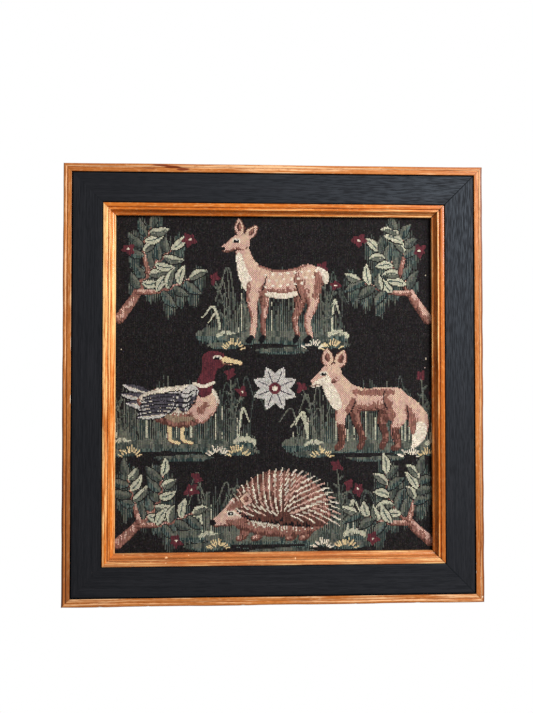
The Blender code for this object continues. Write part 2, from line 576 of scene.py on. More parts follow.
def groove(start: float, width: float, face: float, depth: float) -> list[Place]:
    """Points of a shallow round groove in a section.

    Args:
        start: How far in it starts.
        width: Its width.
        face: How high the face is that it is cut into.
        depth: Its depth.

    Returns:
        The points, from one edge to the other.
    """
    half = width / 2
    radius = (half**2 + depth**2) / (2 * depth)
    rise = math.degrees(math.asin((radius - depth) / radius))
    return arc(start + half, face + radius - depth, radius, 180 + rise, 360 - rise)


def share_outside(points: np.ndarray, solids: list[np.ndarray], distance: float) -> np.ndarray:
    """How much of a small disc about each point lies outside every solid section.

    Args:
        points: The places to look about, a row each.
        solids: The outlines of the sections.
        distance: The disc's radius.

    Returns:
        A share from 0 to 1 for each point.
    """
    rays = np.linspace(0, 2 * math.pi, DISC_RAYS + 1)[:-1]
    angles, rings = np.meshgrid(rays, np.linspace(1 / DISC_RINGS, 1, DISC_RINGS))
    around = np.stack([np.cos(angles) * rings, np.sin(angles) * rings], -1).reshape(-1, 2) * distance
    spots = (points[:, None] + around[None]).reshape(-1, 2)
    filled = spots[:, 1] < 0
    for outline in solids:
        a, b = outline, np.roll(outline, -1, 0)
        rise = (a[:, 1] > spots[:, 1, None]) != (b[:, 1] > spots[:, 1, None])
        slope = (b[:, 0] - a[:, 0]) / np.where(a[:, 1] == b[:, 1], 1, b[:, 1] - a[:, 1])
        crossed = rise & (spots[:, 0, None] < a[:, 0] + slope * (spots[:, 1, None] - a[:, 1]))
        filled |= crossed.sum(1) % 2 == 1
    return 1 - filled.reshape(len(points), -1).mean(1)


def set_in_scene(name: str, data: bpy.types.ID) -> bpy.types.Object:
    """Sets new data in the scene.

    Args:
        name: The object's name.
        data: The camera, light or mesh that it holds.

    Returns:
        The object.
    """
    item = bpy.data.objects.new(name, data)
    bpy.context.scene.collection.objects.link(item)
    return item


def grid_faces(rows: int, columns: int, points: int) -> list[list[int]]:
    """The four-sided faces between the points of a grid.

    Args:
        rows: How many rows of faces it has.
        columns: How many faces each row has.
        points: How many points lie across it, which is as many again where a row closes on itself.

    Returns:
        The numbers of each face's points, row by row.
    """
    row, column = np.indices((rows, columns)).reshape(2, -1)
    here, beside = row * points + column, row * points + (column + 1) % points
    return np.stack([here, here + points, beside + points, beside], 1).tolist()


def smooth_item(name: str, points: np.ndarray, faces: list[list[int]], material: bpy.types.Material,
                sharp: float) -> bpy.types.Object:
    """Makes an object with a smooth surface.

    Args:
        name: Its name, which its mesh has too.
        points: Its points, in metres.
        faces: The numbers of each face's points.
        material: Its material.
        sharp: How far in degrees the surface turns at an edge that stays sharp.

    Returns:
        The object, in the scene.
    """
    mesh = bpy.data.meshes.new(name)
    mesh.from_pydata(points.tolist(), [], faces)
    mesh.shade_smooth()
    mesh.set_sharp_from_angle(angle=math.radians(sharp))
    mesh.materials.append(material)
    return set_in_scene(name, mesh)


def lay_bake_map(mesh: bpy.types.Mesh, layout: np.ndarray) -> None:
    """Gives a mesh its bake map, from a place for each corner of each face."""
    mesh.uv_layers.new(name=BAKE_MAP).data.foreach_set("uv", layout.astype(np.float32).ravel())


@dataclass
class RailRing(ABC):
    """Four mitred rails of one section, run round the frame.

    Fading is how much bleaching each side has at even steps along it, and holds painted light and shade too:
    paler where the light falls on a side, darker where it is in shade, with painted highlights. Edge
    darkening is how dark its outer part is there, and fades out between the darkened distances inward.
    Tones are painted light and shade per side that add to the fading at the toned distances. Hollow
    shading is how dark a side's recesses are painted as shade, and the sheen veil is a pale painted
    reflection over a side. Each mitre, from the top left on, stands a gap open and has its soot, which
    spreads a reach beside it. Sways are the lengths of the waves that a rail wobbles in. The snug
    distances move the outer and the inner wall towards the neighbours that they are glued to.
    """

    size: FrameSize
    material: bpy.types.Material
    flaws: tuple[Flaw, ...] = ()
    fading: Rows = ((0,),) * 4
    edge_darkening: Rows = ((0,),) * 4
    hollow_shading: PerSide = (1, 1, 1, 1)
    dust: PerSide = (0, 0, 0, 0)
    mitre_gap: float = 0.015
    mitre_soot: PerSide = (0.25, 1.0, 0.85, 0.10)
    soot_reach: float = 0.40
    stations: int = 400
    mitre_stations: int = 9
    mitre_share: float = 0.012
    spacing: float = 1.6
    hidden: float = 1.0
    wobble: float = 0.07
    sways: Row = (9.0, 23.0, 61.0)
    stain: float = 0.30
    stained_edge: float = 2.2
    wear_and_highlight: Reach = Reach(0.7, 0.62, 0.80)
    shade_reach: Reach = Reach(2.2, 0.34, 0.14)
    snug: Pair = (0.13, 0.13)
    darkened_span: Pair = (2.4, 3.8)
    # Painted light and shade per side, at distances inward.
    toned: Row = (0,)
    tones: Rows = ((0,),) * 4
    sharp: float = 38
    board_shift: float = 3
    map_margin: float = 0.006
    map_ends: float = 0.06
    prefix: ClassVar[str]
    slot: ClassVar[str]

    def __post_init__(self) -> None:
        """Reads the ring's start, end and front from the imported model, and closes its joints to a hair."""
        low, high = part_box(f"{self.prefix}_top")
        top = cad_box[1].z
        self.start = (top - high.z) / MM - self.snug[0]
        self.end = (top - low.z) / MM + self.snug[1]
        self.front = -low.y / MM

    @abstractmethod
    def section(self) -> list[Place]:
        """The rail's outline as (inward, forward) points, from the back's outer corner."""

    def fine_section(self) -> np.ndarray:
        """Divides the outline's long visible stretches, so that wear can fade along them.

        Returns:
            The outline's points, a row each.
        """
        outline = self.section()
        points = []
        for here, ahead in zip(outline, outline[1:] + outline[:1]):
            unseen = max(here[1], ahead[1]) < self.hidden
            count = 1 if unseen else max(1, round(math.dist(here, ahead) / self.spacing))
            points += [np.array(here) + (np.array(ahead) - here) * i / count for i in range(count)]
        return np.array(points)

    def build(self, solids: list[np.ndarray]) -> list[bpy.types.Object]:
        """Makes the ring's four rails.

        Args:
            solids: The outlines of every ring's section, which shut each other in.

        Returns:
            The rails.
        """
        outline = self.fine_section()
        edge, deep = self.wear_and_highlight, self.shade_reach
        near, far = (share_outside(outline, solids, reach.distance) for reach in (edge, deep))
        section = {
            # Rubbed arrises; the moulding's wider reach also paints highlights on its bead and lip.
            "arris": np.interp(near, (edge.start, edge.full), (0, 1)),
            # Painted shade, darker the more a point is shut in.
            "hollow": np.interp(far, (deep.full, deep.start), (1, 0)),
            "soot": self.soot(outline),
        }
        return [self.rail(side, outline, section) for side in Side]

    def soot(self, outline: np.ndarray) -> np.ndarray:
        """How black each point of the section is with paint and dirt, which darken its outer edge."""
        return self.stain * np.clip(1 - (outline[:, 0] - self.start) / self.stained_edge, 0, 1)

    def along(self) -> np.ndarray:
        """Stations along a rail, closer together beside its mitres.

        Returns:
            Their places, from -1 to 1.
        """
        last = 1 - self.mitre_share * np.linspace(0, 1, self.mitre_stations) ** 2
        even = np.linspace(-last[-1], last[-1], self.stations)[1:-1]
        return np.concatenate([-last, even, last[::-1]])

    def rail(self, side: Side, outline: np.ndarray, section: dict[str, np.ndarray]) -> bpy.types.Object:
        """Makes one rail, with its own axes along it, back to the wall and outward.

        Args:
            side: Which side of the frame it is.
            outline: The section's points.
            section: For each of the material's layers, its value at each of those points.

        Returns:
            The rail, in place and dressed.
        """
        name = f"{self.prefix}_{side.name.lower()}_rail"
        corner = list(Side).index(side)
        long, reach = self.size.about(side)
        inward, forward = outline.T
        half = long / 2 - inward - self.mitre_gap / math.sqrt(2)
        share = self.along()[:, None]
        x = share * half
        place = np.stack(np.broadcast_arrays(x, -forward, -inward), -1)
        draw = np.random.default_rng(sum(map(ord, name)))
        sway = sum(np.sin(x / wave + draw.random() * WAVE_TURN) * draw.normal() for wave in self.sways)
        walls = zip((self.start, self.end), self.snug)
        glued = np.any([np.isclose(inward, wall) & (gap > 0) for wall, gap in walls], 0)
        self.press(place, self.wobble * (1 + np.tanh(sway)) * ((forward > self.hidden) & ~glued))
        layers = {layer: np.broadcast_to(values, x.shape) for layer, values in section.items()}
        dirty = np.where(share < 0, self.mitre_soot[corner], self.mitre_soot[(corner + 1) % len(Side)])
        beside = (half - np.abs(x)) / math.sqrt(2)
        layers["soot"] = np.maximum(layers["soot"], dirty * np.exp(-((beside / self.soot_reach) ** 2)))
        # Painted shade in the recesses, scaled per side by how the light falls.
        layers["hollow"] = layers["hollow"] * self.hollow_shading[corner]
        # Bleaching with painted light and shade, by side and stretch.
        layers["faded"] = self.bleaching(corner, share, inward - self.start)
        # Painted reflection, a pale veil over a side.
        layers["dust"] = np.full(x.shape, self.dust[corner])
        layers["board"] = np.full(x.shape, draw.random() * self.board_shift)
        layers |= self.age(side, place, reach / 2)
        return self.skin(name, side, place, outline, layers)

    def bleaching(self, corner: int, share: np.ndarray, across: np.ndarray) -> np.ndarray:
        """How much bleaching and painted light a rail has, or below 0 how much darkening and painted shade.

        Args:
            corner: The number of the corner at its start, clockwise from the top left.
            share: Its stations, from -1 to 1.
            across: How far in from the ring's outer edge each point of the section is.

        Returns:
            A value for each station and point.
        """
        rows = (self.fading[corner], self.edge_darkening[corner])
        fading, edge_darkening = (np.interp(share, np.linspace(-1, 1, len(row)), row) for row in rows)
        tone = np.interp(across, self.toned, self.tones[corner])
        return fading + tone - edge_darkening * np.interp(across, self.darkened_span, (1, 0))

    def press(self, place: np.ndarray, depth: np.ndarray) -> None:
        """Moves a rail's points in towards its core.

        Args:
            place: The points, which are moved.
            depth: How far each goes.
        """
        core = np.array([-(self.front * 0.5), -(self.start + self.end) / 2])
        toward = core - place[..., 1:]
        toward /= np.linalg.norm(toward, axis=-1, keepdims=True)
        place[..., 1:] += toward * depth[..., None]

    def age(self, side: Side, place: np.ndarray, reach: float) -> dict[str, np.ndarray]:
        """Presses the flaws that fall on a rail into it.

        Args:
            side: The rail's side.
            place: The rail's points, which are moved.
            reach: From the frame's centre to this side's outer edge.

        Returns:
            How chipped and how knotty each point is.
        """
        marks = {mark: np.zeros(place.shape[:2]) for mark in Mark}
        for flaw in self.flaws:
            along, outward = side.own_place(flaw.x, flaw.z)
            near = (place[..., 0] - along) ** 2 / flaw.length**2
            near = near + (place[..., 2] + reach - outward) ** 2 / flaw.width**2
            strength = np.exp(-near * 2) * (place[..., 1] < -self.front * 0.5)
            marks[flaw.mark] = np.maximum(marks[flaw.mark], strength)
            if flaw.mark is not Mark.KNOT:
                self.press(place, strength * flaw.depth)
        return {mark.value: marks[mark] for mark in (Mark.CHIP, Mark.KNOT)}

    def skin(self, name: str, side: Side, place: np.ndarray, outline: np.ndarray,
             layers: dict[str, np.ndarray]) -> bpy.types.Object:
        """Turns a rail's points into its mesh, with its layers and its bake map.

        Args:
            name: The rail's name.
            side: Its side.
            place: Its points in millimetres, station by station.
            outline: Its section, which closes the ends.
            layers: The values that its material reads.

        Returns:
            The rail, in place and dressed.
        """
        stations, count = place.shape[:2]
        ends = [list(range(count)), list(range(stations * count - 1, (stations - 1) * count - 1, -1))]
        faces = grid_faces(stations - 1, count, count) + ends
        item = smooth_item(name, place.reshape(-1, 3) * MM, faces, self.material, self.sharp)
        for layer, values in layers.items():
            kept = item.data.attributes.new(layer, "FLOAT", "POINT")
            kept.data.foreach_set("value", values.astype(np.float32).ravel())
        lay_bake_map(item.data, self.unrolled(place, outline))
        turn = math.radians(side.value)
        edge = Vector((0, 0, self.size.about(side)[1] / 2 * MM))
        item.rotation_euler = (0, turn, 0)
        item.location = self.size.centre + Matrix.Rotation(turn, 4, "Y") @ edge
        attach(item, "root")
        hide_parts(f"{self.prefix}_{side.name.lower()}")
        return item

    def unrolled(self, place: np.ndarray, outline: np.ndarray) -> np.ndarray:
        """Unrolls a rail in a few strips, one above another, with its ends above them.

        Args:
            place: The rail's points, station by station.
            outline: Its section.

        Returns:
            The place of each corner of each face, from 0 to 1.
        """
        stations, count = place.shape[:2]
        margin, strips_top = self.map_margin, 1 - self.map_ends
        steps = np.linalg.norm(np.roll(outline, -1, 0) - outline, axis=1)
        girth = np.concatenate([[0], np.cumsum(steps)]) / steps.sum()
        strips = max(1, round(math.sqrt(np.ptp(place[..., 0]) / steps.sum())))
        station, point = np.indices((stations - 1, count)).reshape(2, -1)
        strip = station * strips // (stations - 1)
        corners = []
        for ahead, around in ((0, 0), (1, 0), (1, 1), (0, 1)):
            across = (station + ahead) / (stations - 1) * strips - strip
            up = (strip + margin + girth[point + around] * (1 - 2 * margin)) / strips
            corners.append(np.stack([margin + across * (1 - 2 * margin), up * strips_top], 1))
        flat = outline / outline.max() * (self.map_ends - 2 * margin)
        caps = [flat + (margin, strips_top + margin), flat[::-1] + (0.5, strips_top + margin)]
        return np.concatenate([np.stack(corners, 1).reshape(-1, 2), *caps])


@dataclass
class PineStrip(RailRing):
    """The outer strip: a rounded ridge, a shallow groove, and a flat beside the band."""

    prefix: ClassVar[str] = "strip"
    slot: ClassVar[str] = "outer_pine"
    ridge_outer_radius: float = 2.6
    ridge_flat: float = 1.5
    ridge_inner_radius: float = 0.5
    groove_width: float = 1.2
    groove_depth: float = 0.4
    arris: float = 0.35
    back_arris: float = 0.5
    blackened_wall: float = 1.6
    wobble: float = 0.22
    mitre_soot: PerSide = (0.15, 0.35, 0.50, 0.10)
    snug: Pair = (0, 0.13)
    # Painted shade in the recesses, per side.
    hollow_shading: PerSide = (0.2, 0.1, 0.5, 1.0)
    # Painted light and shade per side across the ridge and groove, over a worn pale crest.
    toned: Row = (2.4, 3.4, 4.4, 4.8, 5.8, 6.4)
    tones: Rows = (
        (0.10, 0.45, 0.80, 0.60, 0.10, 0),
        (0, 0.80, 1.20, 0.90, 0.10, 0),
        (0, 0.30, 0.25, 0, 0, 0),
        (0.10, 0.50, 0.40, -0.50, -0.60, 0),
    )

    def section(self) -> list[Place]:
        """The strip's outline, as (inward, forward) points.

        Returns:
            The points, from the back's outer corner.
        """
        front, radius = self.front, self.ridge_outer_radius
        ridge_end = radius + self.ridge_flat
        groove_start = ridge_end + self.ridge_inner_radius
        groove_face = front - self.ridge_inner_radius
        groove_end = groove_start + self.groove_width
        points = [(self.back_arris, 0), (0, self.back_arris)]
        points += arc(radius, front - radius, radius, 180, 90)
        points += arc(ridge_end, groove_face, self.ridge_inner_radius, 90, 0)
        points += groove(groove_start, self.groove_width, groove_face, self.groove_depth)[1:]
        points += [(groove_end, front - self.arris), (groove_end + self.arris, front)]
        points += arc(self.end - self.arris, front - self.arris, self.arris, 90, 0)
        return points + [(self.end, front - 2 * self.arris), (self.end, 0)]

    def soot(self, outline: np.ndarray) -> np.ndarray:
        """How black each point of the section is: the inner wall is blackened too.

        Args:
            outline: The section's points.

        Returns:
            A value for each point.
        """
        inward, forward = outline.T
        wall = np.isclose(inward, self.end) & (forward < self.front - self.arris * 0.9)
        return np.where(wall, self.blackened_wall, super().soot(outline))


@dataclass
class BlackBand(RailRing):
    """The flat black band between its two shoulders and quirks."""

    prefix: ClassVar[str] = "band"
    slot: ClassVar[str] = "black_band"
    shoulder_radius: float = 0.8
    quirk_width: float = 1.1
    quirk_depth: float = 1.3

    def section(self) -> list[Place]:
        """The band's outline, as (inward, forward) points.

        Returns:
            The points, from the back's outer corner.
        """
        floor = self.front - self.quirk_depth
        radius = self.shoulder_radius
        left, right = self.start + self.quirk_width, self.end - self.quirk_width
        points = [(self.start, 0), (self.start, floor), (left, floor)]
        points += arc(left + radius, self.front - radius, radius, 180, 90)
        points += arc(right - radius, self.front - radius, radius, 90, 0)
        return points + [(right, floor), (self.end, floor), (self.end, 0)]


@dataclass
class LippedMoulding(RailRing):
    """The inner moulding: fillet, groove, bead, quirk, steep cove, and the lip over the cloth."""

    prefix: ClassVar[str] = "moulding"
    slot: ClassVar[str] = "inner_pine"
    fillet_width: float = 4.7
    fillet_outer_radius: float = 0.9
    fillet_arris: float = 0.4
    groove_width: float = 1.6
    groove_radius: float = 0.5
    bead_radius: float = 1.1
    bead_drop: float = 0.4
    quirk_width: float = 0.5
    quirk_depth: float = 0.9
    cove_top: float = 1.9
    cove_width: float = 3.3
    cove_drop: float = 4.2
    nose: float = 0.5
    lip_underside: float = 12.2
    wall: float = 5.7
    stained_edge: float = 1.3
    # Rubbed arrises, wide enough to give the bead and lip painted highlights.
    wear_and_highlight: Reach = Reach(0.8, 0.56, 0.72)
    snug: Pair = (0.13, 0)
    # Painted shade in the recesses, per side; almost none on the bottom rail, which the light falls into.
    hollow_shading: PerSide = (0.8, 0.8, 0.05, 0.8)
    # A pale veil of painted reflection on the bottom rail.
    dust: PerSide = (0, 0, 0.28, 0)
    # Painted light, shade and highlights per side across the profile.
    toned: Row = (0.6, 2.0, 4.2, 5.6, 6.6, 7.6, 8.4, 8.9, 10.2, 12.2, 13.2)
    tones: Rows = (
        (0.05, -0.05, -0.10, 0, 0.20, 0.30, 0.10, 0, 0, 0.15, 0.30),
        (0, -0.30, 0.10, 0, 0.35, 0.65, 0.60, 0, 0.05, 0.35, 0.60),
        (0.20, 0.15, 0.05, 0.30, 0.20, 0, -0.50, -0.90, -0.30, 0, 0.10),
        (0.18, 0.25, 0, 0.20, 0.05, -0.05, -0.05, -0.05, -0.05, 0, 0.25),
    )

    def section(self) -> list[Place]:
        """The moulding's outline, as (inward, forward) points.

        Returns:
            The points, from the back's outer corner.
        """
        outer, sight, front = self.start, self.end, self.front
        rounding, arris, hollow = self.fillet_outer_radius, self.fillet_arris, self.groove_radius
        fillet_end = outer + self.fillet_width
        bead_start = fillet_end + self.groove_width
        bead_height = front - self.bead_drop - self.bead_radius
        bead_end = bead_start + 2 * self.bead_radius
        quirk_end = bead_end + self.quirk_width
        quirk_floor = bead_height - self.quirk_depth
        cove_height = front - self.cove_top
        lip_front = cove_height - self.cove_drop
        points = [(outer, 0)]
        points += arc(outer + rounding, front - rounding, rounding, 180, 90)
        points += arc(fillet_end - arris, front - arris, arris, 90, 0)
        points += arc(fillet_end + hollow, bead_height + hollow, hollow, 180, 270)
        points += arc(bead_start + self.bead_radius, bead_height, self.bead_radius, 180, 0)
        points += [(bead_end, quirk_floor), (quirk_end, quirk_floor)]
        points += arc(quirk_end + self.cove_width, cove_height, self.cove_width, 180, 270, self.cove_drop)
        points += arc(sight - self.nose, lip_front - self.nose, self.nose, 90, 0)
        points += [(sight, self.lip_underside + self.nose), (sight - self.nose, self.lip_underside)]
        return points + [(outer + self.wall, self.lip_underside), (outer + self.wall, 0)]


class Weave(Enum):
    """How the two threads of a yarn alternate over the cloth."""

    PLAIN = "plain"
    CHEQUER = "chequer"
    RIB = "rib"
    SPECKLE = "speckle"


@dataclass(frozen=True)
class Yarn:
    """A woven colour: its threads as display colours, how they alternate and how uneven they are."""

    main: tuple[int, int, int]
    second: tuple[int, int, int]
    weave: Weave
    uneven: float = 0.10


def linear(shown: tuple[int, int, int]) -> Colour:
    """A display colour from 0 to 255 as linear light from 0 to 1."""
    parts = [value / 255 for value in shown]
    return tuple(p / 12.92 if p <= 0.04045 else ((p + 0.055) / 1.055) ** 2.4 for p in parts)


class Wool(Enum):
    """The yarns of the cloth."""

    GROUND = Yarn((25, 22, 23), (31, 28, 28), Weave.RIB, 0.34)
    BUFF = Yarn((208, 180, 154), (176, 144, 124), Weave.CHEQUER)
    PINK = Yarn((202, 166, 150), (164, 128, 114), Weave.CHEQUER)
    ROSE = Yarn((138, 96, 84), (116, 78, 68), Weave.RIB, 0.14)
    UMBER = Yarn((90, 56, 48), (72, 46, 40), Weave.RIB, 0.14)
    CREAM = Yarn((220, 208, 188), (184, 170, 152), Weave.SPECKLE)
    STRAW = Yarn((214, 192, 148), (190, 164, 122), Weave.CHEQUER)
    HUSK = Yarn((140, 120, 98), (116, 98, 80), Weave.RIB)
    FLEECE = Yarn((198, 186, 168), (162, 148, 132), Weave.SPECKLE)
    SILVER = Yarn((190, 184, 176), (152, 148, 142), Weave.SPECKLE)
    SLATE = Yarn((78, 74, 80), (58, 54, 62), Weave.RIB)
    SAGE = Yarn((184, 180, 156), (152, 150, 131), Weave.SPECKLE)
    MOSS = Yarn((98, 99, 88), (78, 80, 72), Weave.RIB, 0.14)
    FERN = Yarn((70, 75, 69), (50, 55, 51), Weave.RIB, 0.18)
    TEAL = Yarn((82, 93, 87), (36, 49, 49), Weave.RIB, 0.14)
    WINE = Yarn((92, 42, 48), (74, 36, 42), Weave.RIB, 0.14)
    INK = Yarn((20, 18, 20), (24, 22, 24), Weave.PLAIN, 0.30)


class Tones(NamedTuple):
    """The yarns of a rounded form, from its lit side to its outline."""

    light: Wool
    body: Wool
    shade: Wool
    edge: Wool


HIDE = Tones(Wool.BUFF, Wool.PINK, Wool.ROSE, Wool.UMBER)
FAR_HIDE = BARK = Tones(Wool.PINK, Wool.ROSE, Wool.UMBER, Wool.UMBER)
PALE = Tones(Wool.CREAM, Wool.CREAM, Wool.FLEECE, Wool.ROSE)
DARK = Tones(Wool.ROSE, Wool.UMBER, Wool.UMBER, Wool.INK)
RED = Tones(Wool.WINE, Wool.WINE, Wool.WINE, Wool.INK)
PLUMES = Tones(Wool.SILVER, Wool.SILVER, Wool.SLATE, Wool.INK)
DOWN = Tones(Wool.CREAM, Wool.FLEECE, Wool.ROSE, Wool.UMBER)
HORN = Tones(Wool.STRAW, Wool.STRAW, Wool.ROSE, Wool.UMBER)


def smooth_line(points: list[Row], spacing: float) -> np.ndarray:
    """Points of a smooth curve that passes through the given ones.

    Args:
        points: The places to pass through, each an x, a y and any number of other values.
        spacing: How far apart the curve's points may lie.

    Returns:
        An array with a row for each point.
    """
    given = np.array(points, float)
    padded = np.vstack([2 * given[0] - given[1], given, 2 * given[-1] - given[-2]])
    rows = []
    for a, b, c, d in zip(padded, padded[1:], padded[2:], padded[3:]):
        steps = max(1, math.ceil(math.dist(b[:2], c[:2]) / spacing))
        t = (np.arange(steps) / steps)[:, None]
        bend, twist = 2 * a - 5 * b + 4 * c - d, 3 * b - a - 3 * c + d
        rows.append(0.5 * (2 * b + (c - a) * t + bend * t**2 + twist * t**3))
    return np.vstack([*rows, given[-1:]])


@dataclass
class Chart:
    """A grid of stitches, each holding one yarn, with places in millimetres from the sight's top left.

    Forms are lit from one direction, unevenly in patches, in streaks and from stitch to stitch, and
    show their light yarn above the highlight. The yarns' colours fade in streaks and vary in tint.
    """

    width: float
    height: float
    margin: float
    pitch: float
    seed: int = 7
    light: tuple[float, float, float] = (0.35, -0.62, 0.70)
    highlight: float = 0.80
    patchy: float = 0.34
    streaky: float = 0.42
    grainy: float = 0.08
    fading: float = 0.10
    tinting: float = 0.35

    def __post_init__(self) -> None:
        """Lays out the empty grid, its stitches' places and its noises."""
        self.yarns = list(Wool)
        self.columns = round((self.width + 2 * self.margin) / self.pitch)
        self.rows = round((self.height + 2 * self.margin) / self.pitch)
        self.grid = np.zeros((self.rows, self.columns), int)
        first = self.pitch / 2 - self.margin
        self.x, self.y = np.meshgrid(*(np.arange(n) * self.pitch + first for n in (self.columns, self.rows)))
        self.draw = np.random.default_rng(self.seed)
        self.streak = self.cells(4, 1)
        self.patch = self.cells(9, 4)
        self.grain = self.cells(1, 1)
        self.even = np.broadcast_to(np.arange(self.columns) % 2 == 0, self.grid.shape)

    def cells(self, tall: int, wide: int) -> np.ndarray:
        """Random values from 0 to 1 for the stitches, alike within cells of that many stitches."""
        values = self.draw.random((self.rows // tall + 1, self.columns // wide + 1))
        return np.repeat(np.repeat(values, tall, 0), wide, 1)[: self.rows, : self.columns]

    def ragged(self) -> np.ndarray:
        """A random value from 0 to 1 for each column."""
        return self.draw.random(self.columns)[None, :]

    def window(self, line: np.ndarray, reach: float) -> Window:
        """Finds the stitches about a line.

        Args:
            line: The line's points.
            reach: How far about it they lie.

        Returns:
            Their rows and columns.
        """
        low, high = line.min(0) - reach + self.margin, line.max(0) + reach + self.margin
        first = np.clip((low / self.pitch).astype(int) - 1, 0, None)
        last = np.clip((high / self.pitch).astype(int) + 2, 0, None)
        return slice(first[1], last[1]), slice(first[0], last[0])

    def about(self, place: Place, wide: float, tall: float) -> tuple[np.ndarray, np.ndarray]:
        """How far right of a place and below it each stitch is, in halves of a width and a height."""
        return (self.x - place[0]) / wide * 2, (self.y - place[1]) / tall * 2

    def paint(self, inside: np.ndarray, *layers: tuple[Wool | None, np.ndarray | bool],
              part: Window = np.s_[:, :]) -> None:
        """Works yarns over the stitches inside a shape.

        Args:
            inside: Which stitches of the window are inside.
            layers: Each yarn, or none, and which of those stitches it covers, from the first worked.
            part: The window's rows and columns.
        """
        for yarn, cover in layers:
            if yarn:
                self.grid[part][inside & cover] = self.yarns.index(yarn)

    def form(self, discs: list[Disc], tones: Tones, shade: float, edge: float, ragged: float = 0.05) -> None:
        """Works a rounded form, the sweep of a disc along a smooth line.

        Args:
            discs: The x, y and radius of the disc at each place that it passes.
            tones: The form's yarns.
            shade: The light below which the shade yarn is used.
            edge: The light below which the edge yarn is used.
            ragged: How uneven its outline is, as a share of its radius.
        """
        line = smooth_line(discs, self.pitch * 0.6)
        part = self.window(line[:, :2], line[:, 2].max())
        x, y, streak = self.x[part], self.y[part], self.streak[part] - 0.5
        nearest, across, down = np.full(x.shape, np.inf), np.zeros_like(x), np.zeros_like(x)
        for cx, cy, r in line:
            dx, dy = (x - cx) / r, (y - cy) / r
            far = np.hypot(dx, dy)
            closer = far < nearest
            for kept, found in ((nearest, far), (across, dx), (down, dy)):
                kept[closer] = found[closer]
        out = np.sqrt(np.clip(1 - nearest**2, 0, 1))
        lx, ly, lz = self.light
        lit = across * lx + down * ly + out * lz + (self.patch[part] - 0.5) * self.patchy
        lit += streak * self.streaky + (self.grain[part] - 0.5) * self.grainy
        self.paint(
            nearest < 1 + ragged * streak,
            (tones.body, True), (tones.light, lit > self.highlight),
            (tones.shade, lit < shade), (tones.edge, lit < edge), part=part,
        )

    def stroke(self, discs: list[Disc], yarn: Wool) -> None:
        """Works a flat tapered line, never thinner than one stitch.

        Args:
            discs: The x, y and half width of the line at each place that it passes.
            yarn: Its yarn.
        """
        line = smooth_line(discs, self.pitch * 0.4)
        part = self.window(line[:, :2], max(line[:, 2].max(), self.pitch))
        x, y = self.x[part], self.y[part]
        inside = np.zeros(x.shape, bool)
        for cx, cy, r in line:
            inside |= (np.abs(x - cx) <= self.pitch / 2) & (np.abs(y - cy) <= self.pitch / 2)
            if r > self.pitch / 2:
                inside |= np.hypot(x - cx, y - cy) < r
        self.paint(inside, (yarn, True), part=part)

    def leaf(self, base: Place, tip: Place, width: float, light: Wool, dark: Wool,
             vein: Wool | None = None, bend: float = 0.0, rim: Wool | None = None) -> None:
        """Works a pointed leaf, light on its upper half and dark on its lower.

        Args:
            base: Where the leaf joins its stalk.
            tip: Its point.
            width: Its greatest width.
            light: The yarn of the half that faces up.
            dark: The yarn of the half that faces down.
            vein: The yarn of its middle line, or none.
            bend: How far its middle bows out, as a share of its length.
            rim: The yarn of a line round it, or none.
        """
        start, end = np.array(base, float), np.array(tip, float)
        length = math.dist(base, tip)
        along = (end - start) / length
        side = np.array([-along[1], along[0]])
        part = self.window(np.array([start, end]), width + abs(bend) * length)
        dx, dy = self.x[part] - start[0], self.y[part] - start[1]
        t = (dx * along[0] + dy * along[1]) / length
        s = dx * side[0] + dy * side[1] - bend * length * 4 * t * (1 - t)
        uneven = (self.streak[part] - 0.5) * 2.5
        half = width / 2 * np.sin(math.pi * np.clip(t, 0, 1) ** 0.8) ** 0.85 + 0.3 * uneven
        blade, rimmed = (np.abs(s) < half + past * self.pitch for past in (0.25, 1.25))
        upper = s * (1 if side[1] < 0 else -1) > uneven
        middle = (np.abs(s) < 0.55 * self.pitch) & (t > 0.12) & (t < 0.8)
        self.paint(
            (t > 0) & (t < 1),
            (rim, rimmed), (dark, blade), (light, blade & upper), (vein, blade & middle), part=part,
        )

    def haze(self, place: Place, wide: float, tall: float) -> None:
        """Works dim upright hatching on alternate columns over bare ground, ragged above and below.

        Args:
            place: Its middle.
            wide: Its width.
            tall: Its height.
        """
        x, y = self.about(place, wide, tall)
        far = x**2 + y**2 + 0.75 * self.ragged()
        self.paint(
            self.grid == 0,
            (Wool.TEAL, (far < 0.9) & ~self.even), (Wool.FERN, (far < 1.25) & self.even),
            (Wool.MOSS, (far < 1.0) & self.even & (self.patch > 0.6)),
        )

    def grass(self, left: float, right: float, foot: float, tall: float) -> None:
        """Works a stand of fine upright grass, close at the foot and ragged at the top.

        Args:
            left: Where it starts.
            right: Where it ends.
            foot: How far down its foot is.
            tall: Its height at its middle.
        """
        share = (2 * self.x - left - right) / (right - left)
        height = tall * np.clip(1 - share**2, 1e-6, 1) ** 0.55
        height = height * (0.50 + 0.50 * self.ragged()) * np.where(self.even, 1, 0.20 + 0.45 * self.ragged())
        level = (foot + 5 * self.ragged() - self.y) / height
        kind = self.ragged()
        self.paint(
            (np.abs(share) < 1) & (level > 0) & (level < 1) & (self.streak < 1.06 - 0.22 * level),
            (Wool.MOSS, True), (Wool.SAGE, kind > 0.92),
            (Wool.FERN, (level > 0.25 + 0.5 * kind) & (kind < 0.8)),
            (Wool.TEAL, ~self.even & (kind < 0.75)), (Wool.MOSS, level * height < 12 * kind),
        )

